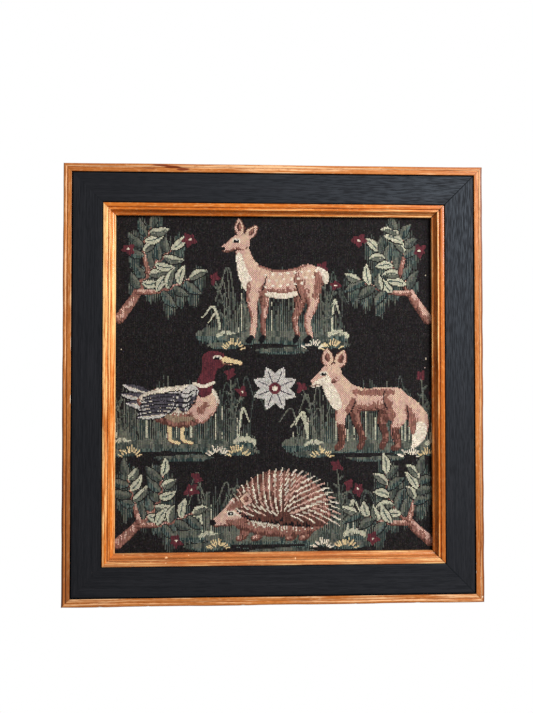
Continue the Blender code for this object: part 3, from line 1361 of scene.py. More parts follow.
    def turf(self, place: Place, wide: float, tall: float) -> None:
        """Works a patch of ground, mossy above and hatched in teal below.

        Args:
            place: Its middle.
            wide: Its width.
            tall: Its height.
        """
        x, y = self.about(place, wide, tall)
        low = y + (self.streak - 0.5) * 0.5 > 0.25
        self.paint(
            x**2 + y**2 < 1 - 0.35 * self.ragged() * (y > 0),
            (Wool.MOSS, ~low), (Wool.FERN, ~low & (self.patch > 0.55)), (Wool.TEAL, low),
        )

    def shrub(self, place: Place, wide: float, cap: Wool | None = None) -> None:
        """Works a scalloped shrub, hatched in its lower half.

        Args:
            place: Its middle.
            wide: Its width.
            cap: The yarn of its pale cap, or none.
        """
        x, y = self.about(place, 2 * wide, 2 * wide)
        lobes = (-0.36, -0.13, 0.12, 0.35)
        inside = np.any([np.hypot(x - lobe, y + 0.14 - 0.9 * lobe * lobe) < 0.19 for lobe in lobes], 0)
        ragged = self.ragged()
        low = (np.abs(x) < 0.46) & (y > 0) & (y < 0.12 + 0.22 * ragged)
        self.paint(
            inside | low,
            (Wool.MOSS, inside), (Wool.FERN, inside & (self.streak > 0.75)),
            (Wool.TEAL, inside & (y > 0) | low), (cap, inside & (y + 0.03 + 0.14 * ragged - 0.9 * x * x < 0)),
        )

    def tuft(self, place: Place, wide: float, tall: float, yarn: Wool) -> None:
        """Works a tuft of short blades that fan out from a rounded foot.

        Args:
            place: Its foot.
            wide: Its width.
            tall: Its height.
            yarn: Its yarn.
        """
        for share in np.linspace(-1, 1, round(wide / 1.7)):
            x = place[0] + share * wide / 2 + self.draw.random()
            y = place[1] + 5 * share**2 + 3 * self.draw.random()
            high = tall * (1 - 0.5 * share**2) * (0.25 + 0.75 * self.draw.random())
            self.stroke([(x, y, THIN), (x + 5 * share, y - high, THIN)], yarn)

    def colours(self) -> np.ndarray:
        """Works out what each stitch shows of its yarn.

        Returns:
            The linear colours, as an array of rows, columns and channels.
        """
        kinds, looks = list(Weave), []
        for yarn in (wool.value for wool in self.yarns):
            looks.append((linear(yarn.main), linear(yarn.second), yarn.uneven, kinds.index(yarn.weave)))
        main, second, rough, weave = (np.array(look)[self.grid] for look in zip(*looks))
        row, column = np.indices(self.grid.shape)
        chequered = (row + column) % 2 == 1
        turns = {
            Weave.PLAIN: np.zeros(self.grid.shape, bool),
            Weave.CHEQUER: chequered,
            Weave.RIB: (column % 2 == 1) ^ (self.streak > 0.8),
            Weave.SPECKLE: chequered & (self.grain < 0.6) | (self.grain > 0.86),
        }
        swap = np.choose(weave, [turns[kind] for kind in kinds])
        colour = np.where(swap[..., None], second, main)
        uneven = self.draw.normal(size=(*swap.shape, 1)) + self.tinting * self.draw.normal(size=colour.shape)
        streaks = self.fading * (self.streak[..., None] - 0.5)
        return np.clip(colour * np.exp(uneven * rough[..., None] + streaks), 0, 1)


@dataclass
class Motif(ABC):
    """A figure worked on a chart, drawn about its own origin in millimetres, y down."""

    chart: Chart
    place: Place
    turn: float = 1
    size: float = 1

    @abstractmethod
    def work(self) -> None:
        """Works the figure."""

    def spot(self, x: float, y: float) -> Place:
        """A place of the figure, as a place on the chart."""
        return self.place[0] + x * self.turn * self.size, self.place[1] + y * self.size

    def discs(self, given: list[Disc]) -> list[Disc]:
        """The figure's discs, as discs on the chart."""
        return [(*self.spot(x, y), r * self.size) for x, y, r in given]

    def form(self, tones: Tones, *given: Disc, shade: float = 0.40, edge: float = -0.18) -> None:
        """Works a rounded form."""
        self.chart.form(self.discs(given), tones, shade, edge)

    def patch(self, yarn: Wool, *given: Disc) -> None:
        """Works a ragged patch in one yarn."""
        self.chart.form(self.discs(given), Tones(yarn, yarn, yarn, yarn), 0, 0, ragged=0.8)

    def stroke(self, yarn: Wool, *given: Disc) -> None:
        """Works a flat line that tapers."""
        self.chart.stroke(self.discs(given), yarn)

    def line(self, yarn: Wool, *places: Place) -> None:
        """Works a line one stitch wide."""
        self.stroke(yarn, *((*place, THIN) for place in places))

    def leaf(self, base: Place, tip: Place, width: float, *yarns: Wool | None, bend: float = 0.0,
             rim: Wool | None = None) -> None:
        """Works a leaf."""
        self.chart.leaf(self.spot(*base), self.spot(*tip), width * self.size, *yarns, bend=bend, rim=rim)

    def dot(self, yarn: Wool, x: float, y: float, radius: float) -> None:
        """Works a round spot."""
        self.stroke(yarn, (x - 0.3, y, radius), (x + 0.3, y, radius))

    def ear(self, base: Place, tip: Place, width: float) -> None:
        """Works an ear with a darker lining, half as wide.

        Args:
            base: The middle of its foot.
            tip: Its point.
            width: Its width.
        """
        a, b = np.array(base), np.array(tip)
        self.leaf(base, tip, width, Wool.BUFF, Wool.PINK, rim=Wool.UMBER)
        self.leaf(tuple(a * 0.75 + b * 0.25), tuple(a * 0.2 + b * 0.8), width * 0.5, Wool.ROSE, Wool.UMBER)

    def eye(self, x: float, y: float) -> None:
        """Works a dark eye in a pale ring, with a glint.

        Args:
            x: How far across it is.
            y: How far down it is.
        """
        self.stroke(Wool.CREAM, (x - 1.4, y - 0.6, 2.9), (x + 1.8, y - 0.6, 2.9))
        self.stroke(Wool.INK, (x - 1.0, y, 2.0), (x + 1.2, y, 2.0))
        self.dot(Wool.SILVER, x + 0.6, y - 0.8, 0.4)

    def feather(self, base: Place, tip: Place, width: float, light: Wool, dark: Wool) -> None:
        """Works a dark-edged feather with a pale shaft."""
        self.leaf(base, tip, width, light, dark, Wool.FLEECE, rim=Wool.INK)


@dataclass
class Fawn(Motif):
    """A standing fawn with a spotted back."""

    def work(self) -> None:
        """Works the fawn."""
        self.form(FAR_HIDE, (-19, 10, 7), (-17, 28, 4.2), (-19, 44, 3.2), (-18, 60, 2.8))
        self.form(FAR_HIDE, (24, 8, 10), (22, 26, 5.5), (17, 42, 3.6), (20, 60, 2.8))
        for x in (-19, 19):
            self.stroke(Wool.INK, (x, 61, 2.6), (x - 2, 65, 3))
        self.form(PALE, (43, -14, 4.5), (50, -9, 5), (52, -1, 2.5))
        self.form(HIDE, (-27, -3, 16), (-8, 2, 14.5), (12, 0, 14.5), (31, -4, 17))
        self.form(PALE, (-14, 13, 3), (4, 15, 3.2), (18, 12, 2.6), shade=-0.1, edge=-0.6)
        self.form(HIDE, (-28, -6, 13), (-38, -22, 9.5), (-43, -38, 8), shade=0.05)
        self.form(PALE, (-35, 4, 6.5), (-42, -12, 5.5), (-46, -30, 3.5), shade=-0.4, edge=-0.75)
        self.form(HIDE, (31, -4, 15.5), (35, 12, 10), (37, 26, 5.6), (31, 42, 4), (34, 60, 3.2))
        self.form(HIDE, (-29, 6, 9), (-31, 24, 5.4), (-29, 42, 3.9), (-31, 60, 3.2))
        for x in (33, -32):
            self.stroke(Wool.INK, (x, 61, 2.8), (x - 3, 65.5, 3.4))
        self.patch(Wool.ROSE, (41, -10, 3), (44, 2, 4), (40, 15, 3))
        self.patch(Wool.ROSE, (-18, 4, 3), (-19, 12, 4))
        self.patch(Wool.ROSE, (21, -2, 3), (23, 10, 4), (27, 20, 2))
        self.line(Wool.INK, (-15, -9), (-17, 0), (-20, 9))
        self.line(Wool.INK, (18, 0), (20, 9), (24, 18))
        self.line(Wool.INK, (-52, -36), (-46, -37), (-41, -41))
        self.stroke(Wool.ROSE, (-24, -19, 0.9), (-6, -13.5, 1.1), (12, -14.5, 1.1), (30, -20, 0.9))
        self.ear((-38, -50), (-26, -64), 9)
        self.form(HIDE, (-43, -46, 9.5), (-52, -43, 7), (-61, -38, 4.4), shade=0.1)
        self.ear((-45, -53), (-46, -72), 9)
        self.stroke(Wool.INK, (-63.5, -38, 2.2), (-65, -37.5, 1.6))
        self.line(Wool.UMBER, (-62, -34.8), (-55, -36.5))
        self.eye(-49, -46.5)
        for row in range(3):
            for i in range(8 - row):
                self.dot(Wool.CREAM, -16 + 8.2 * i + 4 * (row % 2), -8.5 + 6.5 * row - 0.8 * i, 1.5)


@dataclass
class Fox(Motif):
    """A walking fox with a low brush."""

    def work(self) -> None:
        """Works the fox."""
        self.form(DARK, (-16, 12, 7), (-12, 30, 4.6), (-6, 46, 3.8), (-9, 56, 3.4))
        self.form(DARK, (22, 12, 9), (16, 28, 5.5), (20, 44, 3.8), (16, 56, 3.4))
        self.form(HIDE, (34, 2, 7), (47, 10, 9.5), (57, 25, 11.5), (58, 41, 8.5), (52, 54, 2.5))
        self.form(PALE, (59, 36, 8.5), (57, 46, 6.5), (51, 56, 1.8), shade=-0.2, edge=-0.6)
        self.form(HIDE, (-24, 0, 15.5), (-4, 3, 13), (14, 2, 13), (31, 4, 14.5))
        self.form(HIDE, (31, 6, 13.5), (36, 22, 8), (30, 38, 4.6), (34, 54, 3.8), (30, 57, 3.6))
        self.form(DARK, (31, 38, 4.4), (34, 54, 3.8), (29, 57.5, 3.6))
        self.form(HIDE, (-25, -2, 14), (-34, -14, 11.5), (-40, -24, 10.5), shade=0.1)
        self.form(HIDE, (-28, 8, 9), (-31, 24, 5.4), (-29, 42, 4.2), (-31, 54, 3.8), (-35, 57, 3.4))
        self.form(DARK, (-30, 34, 4.4), (-30, 50, 3.9), (-35, 57, 3.4))
        self.form(PALE, (-35, 8, 6), (-41, -4, 7), (-46, -14, 5.5), shade=-0.25, edge=-0.7)
        self.patch(Wool.ROSE, (-14, -6, 3), (2, -5, 3.5), (16, -6, 3.5), (28, -6, 2.5))
        self.patch(Wool.ROSE, (46, 14, 4), (50, 26, 5), (51, 38, 3))
        self.patch(Wool.ROSE, (22, 4, 3), (24, 14, 4), (27, 24, 2.5))
        self.patch(Wool.ROSE, (-17, 4, 3), (-21, 14, 4))
        self.line(Wool.INK, (19, -7), (18, 3), (22, 14))
        self.line(Wool.INK, (-14, 4), (-17, 12), (-22, 20))
        self.line(Wool.INK, (44, 10), (46, 22), (44, 32))
        self.ear((-34, -33), (-27, -53), 12)
        self.form(HIDE, (-41, -27, 11.5), (-53, -21, 6.5), (-64, -15, 3.2), shade=0.1)
        self.form(PALE, (-46, -19, 5), (-54, -16.5, 3.8), (-62, -13, 2), shade=-0.3, edge=-0.75)
        self.ear((-45, -35), (-46, -55), 12)
        self.stroke(Wool.INK, (-65.5, -15.5, 2.4), (-67, -15, 1.8))
        self.line(Wool.UMBER, (-63, -12.6), (-54, -14.2))
        self.eye(-50, -26)


@dataclass
class Duck(Motif):
    """A standing drake with a barred wing."""

    def work(self) -> None:
        """Works the duck."""
        for foot in (2, -12):
            self.form(HORN, (foot, 28, 2.4), (foot + 1, 44, 2.2), (foot + 10, 48, 2.0), shade=0.1)
        for tip, mid in (((-62, -16), (-30, -4)), ((-65, -6), (-30, 2)), ((-60, 4), (-28, 8))):
            self.feather(mid, tip, 9, Wool.SLATE, Wool.SILVER)
        self.form(DOWN, (-40, 2, 7), (-22, 6, 18), (2, 8, 23), (22, 2, 20))
        self.form(HIDE, (20, -2, 15), (25, 6, 14.5), (20, 14, 13), shade=0.1)
        self.form(RED, (25, -12, 10), (30, -26, 8), (33, -38, 8.5), edge=-0.5)
        self.stroke(Wool.CREAM, (14.5, -17.5, 1.6), (25, -14, 2.0), (37, -18.5, 1.6))
        self.form(RED, (34, -42, 11), (40, -43, 9.5), edge=-0.5)
        self.form(HORN, (49, -42, 4.6), (57, -40.5, 3.6), (65, -39.5, 2.6), shade=0.0)
        self.line(Wool.INK, (48, -40), (57, -38.6), (64, -38))
        self.eye(40, -45)
        self.wing_row((10, -4), 7, 16, 30, 9, Wool.SILVER, Wool.SLATE)
        self.wing_row((2, -2), 6, 18, 38, 8, Wool.SLATE, Wool.SILVER)
        self.form(PLUMES, (12, -8, 8), (6, 0, 8.5), (4, 8, 6), shade=0.45)
        self.patch(Wool.HUSK, (-14, 19, 2.5), (-2, 22, 3.5), (12, 21, 3))
        self.patch(Wool.ROSE, (22, 13, 4), (28, 6, 3))
        self.stroke(Wool.INK, (18, -10, THIN), (16, 2, 0.8), (8, 13, THIN))
        for k in range(4):
            tip = (1 - k, -7 + 5 * k, THIN)
            self.stroke(Wool.INK, (15 - k, -10 + 5 * k, THIN), (8 - k, -6 + 5 * k, 0.8), tip)

    def wing_row(self, start: Place, count: int, spread: float, length: float, width: float,
                 light: Wool, dark: Wool) -> None:
        """Works a row of wing feathers, shorter and narrower towards its lower end.

        Args:
            start: Where the first feather joins the wing.
            count: How many feathers there are.
            spread: How far down the last one is.
            length: Their length.
            width: Their width.
            light: The yarn of their upper halves.
            dark: The yarn of their lower halves.
        """
        for share in (k / (count - 1) for k in range(count)):
            base = (start[0] - 2.5 * share * count, start[1] + spread * share)
            tip = (base[0] - length * (1.15 - 0.25 * share), base[1] + 1 + 3 * share)
            self.feather(base, tip, width * (1 - 0.3 * share), light, dark)


@dataclass
class Hedgehog(Motif):
    """A hedgehog with its spines in rows."""

    def work(self) -> None:
        """Works the hedgehog."""
        for x in (-32, -16, 20, 34):
            self.form(BARK, (x, 26, 6), (x - 3, 36, 4), (x - 8, 39, 3))
        self.form(DOWN, (-34, 16, 14), (-5, 20, 17), (25, 20, 16), (42, 18, 11))
        self.form(HIDE, (-36, 8, 15), (-50, 16, 9.5), (-64, 22, 4.4), shade=0.1)
        self.form(DARK, (-24, 0, 20), (0, -4, 28), (26, 2, 25), (44, 14, 13), shade=0.4, edge=-0.3)
        for row in range(8):
            self.spine_row(row, 7 + 3 * row)
        self.patch(Wool.ROSE, (-50, 8, 2), (-42, 3, 3.5), (-36, 2, 3))
        self.patch(Wool.ROSE, (-52, 21, 2), (-42, 22, 3), (-34, 20, 3))
        self.ear((-33, 4), (-31, -9), 11)
        self.dot(Wool.INK, -67, 22, 3.0)
        self.line(Wool.UMBER, (-63, 26), (-54, 24.5))
        self.eye(-48, 13)

    def spine_row(self, row: int, count: int) -> None:
        """Works one row of spines, from the head over the back.

        Args:
            row: The row's number, from the innermost.
            count: How many spines it has.
        """
        out = 0.14 + 0.118 * row
        for k in range(count):
            angle = math.pi * (1.02 - 1.06 * (k + 0.5 + 0.5 * (row % 2)) / count)
            x, y = 8 + 54 * out * math.cos(angle), 16 - 45 * out * math.sin(angle)
            lean = angle - 0.5
            tip = (x + 7.5 * math.cos(lean), y - 7.5 * math.sin(lean), THIN)
            self.stroke((Wool.CREAM, Wool.FLEECE, Wool.PINK)[(k + row) % 3], (x, y, 0.9), tip)


@dataclass
class Rosette(Motif):
    """A rosette of even petals with a wine heart."""

    petals: int = 8
    reach: float = 27
    width: float = 14

    def work(self) -> None:
        """Works the rosette."""
        for k in range(self.petals):
            angle = math.pi * (2 * k + 1) / self.petals
            near, tip = ((math.cos(angle) * out, math.sin(angle) * out) for out in (3.2, self.reach))
            self.leaf(near, tip, self.width, Wool.SILVER, Wool.SILVER, Wool.SLATE)
        for yarn, radius in ((Wool.WINE, 7), (Wool.CREAM, 2.8)):
            self.dot(yarn, 0, 0, radius)


@dataclass
class Blossom(Motif):
    """A small open flower of ragged petals, with or without a pale heart."""

    petals: int = 5
    heart: float = 1.3

    def work(self) -> None:
        """Works the flower."""
        draw = self.chart.draw
        for k in range(self.petals):
            angle, long = 2 * math.pi * (k + 0.6 * draw.random()) / self.petals, 7 + 4.5 * draw.random()
            self.leaf((0, 0), (long * math.cos(angle), long * math.sin(angle)), 5.8, Wool.WINE, Wool.WINE)
        if self.heart:
            self.dot(Wool.CREAM, 0.4, 0, self.heart)


@dataclass
class Sprig(Motif):
    """A thin stem that leans out of the grass, with small side leaves and a flower."""

    height: float = 70
    lean: float = 16

    def work(self) -> None:
        """Works the sprig."""
        stem = ((0, 0), (self.lean * 0.25, -self.height * 0.6), (self.lean, -self.height))
        self.line(Wool.MOSS, *stem)
        line = smooth_line(stem, 1)
        for i in range(2, 8):
            x, y = line[len(line) * i // 9]
            way = 1 if i % 2 else -1
            self.leaf((x, y), (x + way * 7, y - 6), 2.2, Wool.MOSS, Wool.FERN)
        heart = Blossom.heart * (self.chart.draw.random() < 0.4)
        Blossom(self.chart, self.spot(*stem[-1]), size=0.85, petals=4, heart=heart).work()


@dataclass
class Spray(Motif):
    """A leafy branch, with leaves on both sides and one at its end.

    The leaves start at a share of the branch, with the first kind. They spread from it in radians,
    and bend by a share of their length. A kind is its light half, its dark half and its vein.
    """

    stem: tuple[Disc, ...] = ()
    count: int = 7
    start: float = 0.2
    first: int = 0
    length: float = 25
    width: float = 9.5
    spread: float = 0.95
    bend: float = 0.08
    kinds: ClassVar[tuple[tuple[Wool | None, ...], ...]] = (
        (Wool.MOSS, Wool.FERN, None),
        (Wool.SAGE, Wool.SAGE, Wool.TEAL),
        (Wool.MOSS, Wool.TEAL, None),
        (Wool.SAGE, Wool.MOSS, Wool.FERN),
    )

    def work(self) -> None:
        """Works the dim foliage behind, the branch, and then the leaves."""
        draw, line = self.chart.draw, smooth_line(self.stem, 1)
        leaves = []
        for i in range(self.count + 1):
            at = min(int(len(line) * (self.start + (1 - self.start) * i / self.count)), len(line) - 1)
            here, behind = line[at, :2], line[max(at - 3, 0), :2]
            angle = math.atan2(here[1] - behind[1], here[0] - behind[0])
            if i < self.count:
                angle += self.spread * (1 if i % 2 else -1) * (0.85 + 0.3 * draw.random())
            long = self.length * (0.75 + 0.35 * draw.random())
            leaves.append((tuple(here), (here[0] + long * math.cos(angle), here[1] + long * math.sin(angle))))
        for base, tip in leaves:
            self.chart.haze(self.spot((base[0] + tip[0]) / 2, (base[1] + tip[1]) / 2 + 7), 17, 36)
        self.form(BARK, *self.stem, shade=0.10, edge=-0.60)
        for i, (base, tip) in enumerate(leaves):
            kind = self.kinds[(i + self.first) % len(self.kinds)]
            self.leaf(base, tip, self.width, *kind, bend=self.bend * (1 if i % 2 else -1), rim=Wool.GROUND)


@dataclass
class WoodlandDesign:
    """The woven picture: four animals about a rosette, with sprays in the corners."""

    chart: Chart
    lint: tuple[Place, ...] = ((6.6, 160.5), (375, 70), (374, 183), (375, 172))
    grass_height: float = 92
    blades: int = 16

    def work(self) -> None:
        """Works the whole design."""
        chart = self.chart
        wide, tall = chart.width, chart.height
        middle = wide / 2
        for place, size in (((middle + 2, 149), (132, 22)), ((74, 278), (144, 22)),
                            ((wide - 76, 281), (146, 20)), ((middle, 390), (172, 24))):
            self.meadow(place, *size)
        self.corners()
        for figure in (
            Fawn(chart, (middle + 6, 80), size=1.08), Duck(chart, (77, 221), size=1.10),
            Fox(chart, (wide - 78, 219), size=1.08), Hedgehog(chart, (middle + 2, 344), size=1.15),
            Rosette(chart, (middle, tall / 2 + 6)),
        ):
            figure.work()
        for x, y in self.lint:
            chart.stroke([(x, y, THIN), (x + 0.4, y + 0.6, THIN)], Wool.CREAM)

    def meadow(self, place: Place, wide: float, tall: float) -> None:
        """Works a stand of grass with blades and flowers, on turf with tufts about it.

        Args:
            place: The middle of its turf.
            wide: The turf's width.
            tall: The turf's height.
        """
        chart, (x, foot) = self.chart, place
        chart.grass(x - wide * 0.66, x + wide * 0.66, foot, self.grass_height)
        for k in range(self.blades):
            yarn = Wool.SAGE if k % 5 == 4 else (Wool.MOSS, Wool.FERN)[k % 2]
            self.blade(place, wide, 1 if k % 2 else -1, yarn)
        for along, size, cap in ((-0.60, 34, None), (-0.46, 22, Wool.SAGE), (0.56, 26, Wool.SAGE)):
            chart.shrub((x + wide * along, foot - 4), size, cap)
        for way, height, lean in ((-1, 74, 15), (1, 66, 11), (1, 88, -4)):
            Sprig(chart, (x + way * wide * 0.46, foot), way, height=height, lean=lean).work()
        chart.turf(place, wide, tall)
        for along, down, share in ((-0.48, 0.35, 0.32), (0.50, 0.30, 0.38), (0.05, 0.62, 0.50)):
            chart.turf((x + wide * along, foot + tall * down), wide * share, tall * 0.42)
        bare = [(x - wide * 0.3, foot + 7, 1), (x - wide * 0.1, foot + 8, 2.8), (x + wide * 0.2, foot + 7, 1)]
        chart.stroke(bare, Wool.GROUND)
        for along, yarn in ((-0.40, Wool.STRAW), (0.33, Wool.CREAM), (0.50, Wool.STRAW)):
            chart.tuft((x + wide * along, foot + 4), 18, 8, yarn)

    def blade(self, place: Place, wide: float, way: int, yarn: Wool) -> None:
        """Works a long blade that bends over, short and broad at the meadow's end where it is pale.

        Args:
            place: The middle of the meadow's foot.
            wide: The meadow's width.
            way: 1 for the right half, and -1 for the left.
            yarn: Its yarn.
        """
        (x, foot), draw = place, self.chart.draw
        root = x + way * wide * (0.12 + 0.50 * draw.random())
        high, lean = 40 + 46 * draw.random(), way * (10 + 18 * draw.random())
        pale = yarn is Wool.SAGE
        if pale:
            root, high = x + way * wide * 0.5, 0.55 * high
        bent = (root + lean * 0.4, foot - high, THIN + pale)
        self.chart.stroke([(root, foot, THIN), bent, (root + lean, foot - high * 0.68, THIN)], yarn)

    def corners(self) -> None:
        """Works a leafy branch with two side branches and flowers into each corner."""
        chart = self.chart
        upper = (
            ((4, 124, 6.2), (22, 98, 5.2), (40, 66, 3.6), (66, 40, 1.4)),
            ((26, 92, 3.6), (56, 90, 2.6), (88, 76, 1.3)),
            ((38, 68, 3.0), (32, 38, 2.0), (42, 14, 1.2)),
        )
        lower = (
            ((2, -10, 6.2), (28, -34, 5.0), (50, -60, 3.4), (56, -92, 1.4)),
            ((26, -32, 3.8), (60, -34, 2.6), (92, -46, 1.3)),
            ((28, -36, 3.4), (20, -66, 2.2), (14, -92, 1.2)),
        )
        flowers = {upper: ((88, 28), (14, 40)), lower: ((90, -74), (72, -14))}
        for down, stems in ((0, upper), (chart.height, lower)):
            for turn, across in ((1, 0), (-1, chart.width)):
                for first, stem in enumerate(stems):
                    count, start = (6, 0.35) if first else (9, 0.42)
                    place = (across, down)
                    Spray(chart, place, turn, stem=stem, count=count, start=start, first=first).work()
                for x, y in flowers[stems]:
                    Blossom(chart, (across + turn * x, down + y), turn).work()


@dataclass
class StretchedCloth:
    """The woven cloth, a mesh with a face to each stitch, stretched flat behind the lip.

    Its front sags in ripples of three lengths, and its stitches are uneven in height.
    """

    size: FrameSize
    pitch: float = 1.3
    sag: float = 0.35
    ripples: Row = (14.0, 31.0, 55.0)
    unevenness: float = 0.1
    thickness: float = 1.2
    seed: int = 11
    sharp: float = 50
    map_share: float = 0.96
    name: str = "woven_cloth"

    def build(self) -> bpy.types.Object:
        """Makes the cloth, works its design and dresses it.

        Returns:
            The cloth.
        """
        low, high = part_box("cloth")
        margin = (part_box("moulding_left")[1].x - low.x) / MM
        width, height = (high.x - low.x) / MM, (high.z - low.z) / MM
        chart = Chart(width - 2 * margin, height - 2 * margin, margin, self.pitch)
        WoodlandDesign(chart).work()
        item = self.mesh(chart, low, high)
        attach(item, "root")
        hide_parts("cloth")
        return item

    def mesh(self, chart: Chart, low: Vector, high: Vector) -> bpy.types.Object:
        """Makes the cloth's mesh about the chart.

        Args:
            chart: The chart of stitches, which the faces follow row by row.
            low: The lowest corner of the cloth's solid.
            high: Its highest corner.

        Returns:
            The cloth, its own origin at its top left.
        """
        rows, columns = chart.grid.shape
        count = columns + 1
        x, z = np.meshgrid(np.linspace(0, high.x - low.x, count), np.linspace(0, low.z - high.z, rows + 1))
        front = np.stack([x, self.relief(x, z), z], -1).reshape(-1, 3)
        rim = [*range(columns), *(r * count + columns for r in range(rows)),
               *range(rows * count + columns, rows * count, -1), *(r * count for r in range(rows, 0, -1))]
        back = front[rim].copy()
        back[:, 1] = self.thickness * MM
        closing = [len(front) + i for i in range(len(rim))]
        ahead = [*range(1, len(rim)), 0]
        skirt = [[rim[i], rim[j], closing[j], closing[i]] for i, j in enumerate(ahead)]
        faces = grid_faces(rows, columns, count) + skirt + [closing]
        material = WovenWool(self.pitch * MM).material()
        item = smooth_item(self.name, np.vstack([front, back]), faces, material, self.sharp)
        self.lay_colours(item.data, chart, len(skirt) * 4 + len(rim))
        self.lay_map(item.data, high.x - low.x, high.z - low.z)
        item.location = (low.x, low.y, high.z)
        return item

    def relief(self, x: np.ndarray, z: np.ndarray) -> np.ndarray:
        """How far back each point of the cloth's front lies, in metres.

        Args:
            x: How far across it is, in metres.
            z: How far up it is.

        Returns:
            The distances.
        """
        draw = np.random.default_rng(self.seed)
        waves = 0
        for long in self.ripples:
            across, up = (np.sin(way / (long * MM) + draw.random() * WAVE_TURN) for way in (x, z))
            waves = waves + across * up
        ripple = (waves / len(self.ripples) + 1) / 2
        return (ripple * self.sag + draw.random(x.shape) * self.unevenness) * MM

    def lay_colours(self, mesh: bpy.types.Mesh, chart: Chart, unseen: int) -> None:
        """Gives each stitch's corners its yarn's colour, and the unseen corners the ground's.

        Args:
            mesh: The cloth's mesh.
            chart: The chart of stitches.
            unseen: How many corners the edges and the back have.
        """
        stitches = np.repeat(chart.colours().reshape(-1, 3), 4, 0)
        colours = np.vstack([stitches, np.tile(linear(Wool.GROUND.value.main), (unseen, 1))])
        layer = mesh.color_attributes.new("yarn", "FLOAT_COLOR", "CORNER")
        layer.data.foreach_set("color", np.insert(colours, 3, 1, 1).astype(np.float32).ravel())

    def lay_map(self, mesh: bpy.types.Mesh, width: float, height: float) -> None:
        """Lays the bake map: the cloth as seen from the front, with a margin about it.

        Args:
            mesh: The cloth's mesh.
            width: The cloth's width, in metres.
            height: Its height.
        """
        corners = np.zeros(len(mesh.loops), np.int32)
        mesh.loops.foreach_get("vertex_index", corners)
        points = np.zeros(len(mesh.vertices) * 3, np.float32)
        mesh.vertices.foreach_get("co", points)
        place = points.reshape(-1, 3)[corners]
        layout = np.stack([place[:, 0] / width, 1 + place[:, 2] / height], 1)
        lay_bake_map(mesh, layout * self.map_share + (1 - self.map_share) / 2)


@dataclass
class BackBoard:
    """The board behind the cloth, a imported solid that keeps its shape."""

    node: str = "back_board"

    def dress(self) -> bpy.types.Object:
        """Gives the board its finish.

        Returns:
            The board.
        """
        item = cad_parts[self.node]
        item.data.materials.clear()
        item.data.materials.append(BrownHardboard().material())
        return item


@dataclass
class Studio:
    """A pale floor well below the frame, a window-like key light, a dim surround and the camera."""

    size: FrameSize
    eye: Vector = field(default_factory=lambda: Vector((-0.0303, -0.6588, -0.2115)))
    look_up: float = 0.895
    look_right: float = 1.781
    lens: float = 27.01
    sensor: float = 36
    key_place: Vector = field(default_factory=lambda: Vector((1.25, -1.20, 0.85)))
    key_side: float = 0.90
    key_power: float = 60.0
    surround: float = 0.28
    floor_drop: float = 0.90
    floor_radius: float = 1.2
    floor_corners: int = 96
    floor_tones: tuple[Colour, Colour] = ((0.80, 0.80, 0.79), (0.84, 0.84, 0.83))
    floor_roughness: float = 0.8
    floor_waves: Waves = (60, 60, 60)
    floor_fade: Pair = (0.45, 0.95)

    def build(self) -> None:
        """Sets up the whole studio."""
        self.camera()
        self.key_light()
        self.world()
        self.floor()
        bpy.context.scene.view_settings.view_transform = "Standard"

    def camera(self) -> None:
        """Places the camera where the photograph was taken from."""
        data = bpy.data.cameras.new("photo_camera")
        data.lens = self.lens
        data.sensor_width = self.sensor
        item = set_in_scene("photo_camera", data)
        item.location = self.eye
        item.rotation_euler = (math.radians(90 + self.look_up), 0, -math.radians(self.look_right))
        bpy.context.scene.camera = item

    def key_light(self) -> None:
        """Hangs the key light at the upper right, aimed at the frame's middle."""
        data = bpy.data.lights.new("key", "AREA")
        data.shape = "SQUARE"
        data.size = self.key_side
        data.energy = self.key_power
        item = set_in_scene("key", data)
        item.location = self.size.centre + self.key_place
        item.rotation_euler = (-self.key_place).to_track_quat("-Z", "Y").to_euler()

    def world(self) -> None:
        """Gives a white background, and a dimmer surround that lights the frame."""
        graph = ShaderGraph(bpy.data.worlds.new("studio"))
        dim, white = (
            graph.signal("Background", {}, {"Color": (1, 1, 1, 1), "Strength": strength})
            for strength in (self.surround, 1.0)
        )
        seen = graph.signal("LightPath", {}, {}, "Is Camera Ray")
        graph.node("OutputWorld", {}, {"Surface": graph.signal("MixShader", {}, {0: seen, 1: dim, 2: white})})
        bpy.context.scene.world = graph.owner

    def floor(self) -> None:
        """Lays a round pale floor that fades out at its rim."""
        bpy.ops.mesh.primitive_circle_add(
            vertices=self.floor_corners, radius=self.floor_radius, fill_type="NGON",
            location=(0, 0, cad_box[0].z - self.floor_drop),
        )
        item = bpy.context.object
        item.name = "pale_floor"
        graph = ShaderGraph(bpy.data.materials.new("pale_floor"))
        place = graph.place()
        x, y, _ = graph.axes(place)
        inner, outer = (self.floor_radius * share for share in self.floor_fade)
        item.data.materials.append(graph.surface({
            "Base Color": graph.blend(graph.noise(place, self.floor_waves), *self.floor_tones),
            "Roughness": self.floor_roughness,
            "Alpha": 1 - ((x * x + y * y) ** 0.5).eased(inner, outer),
        }))


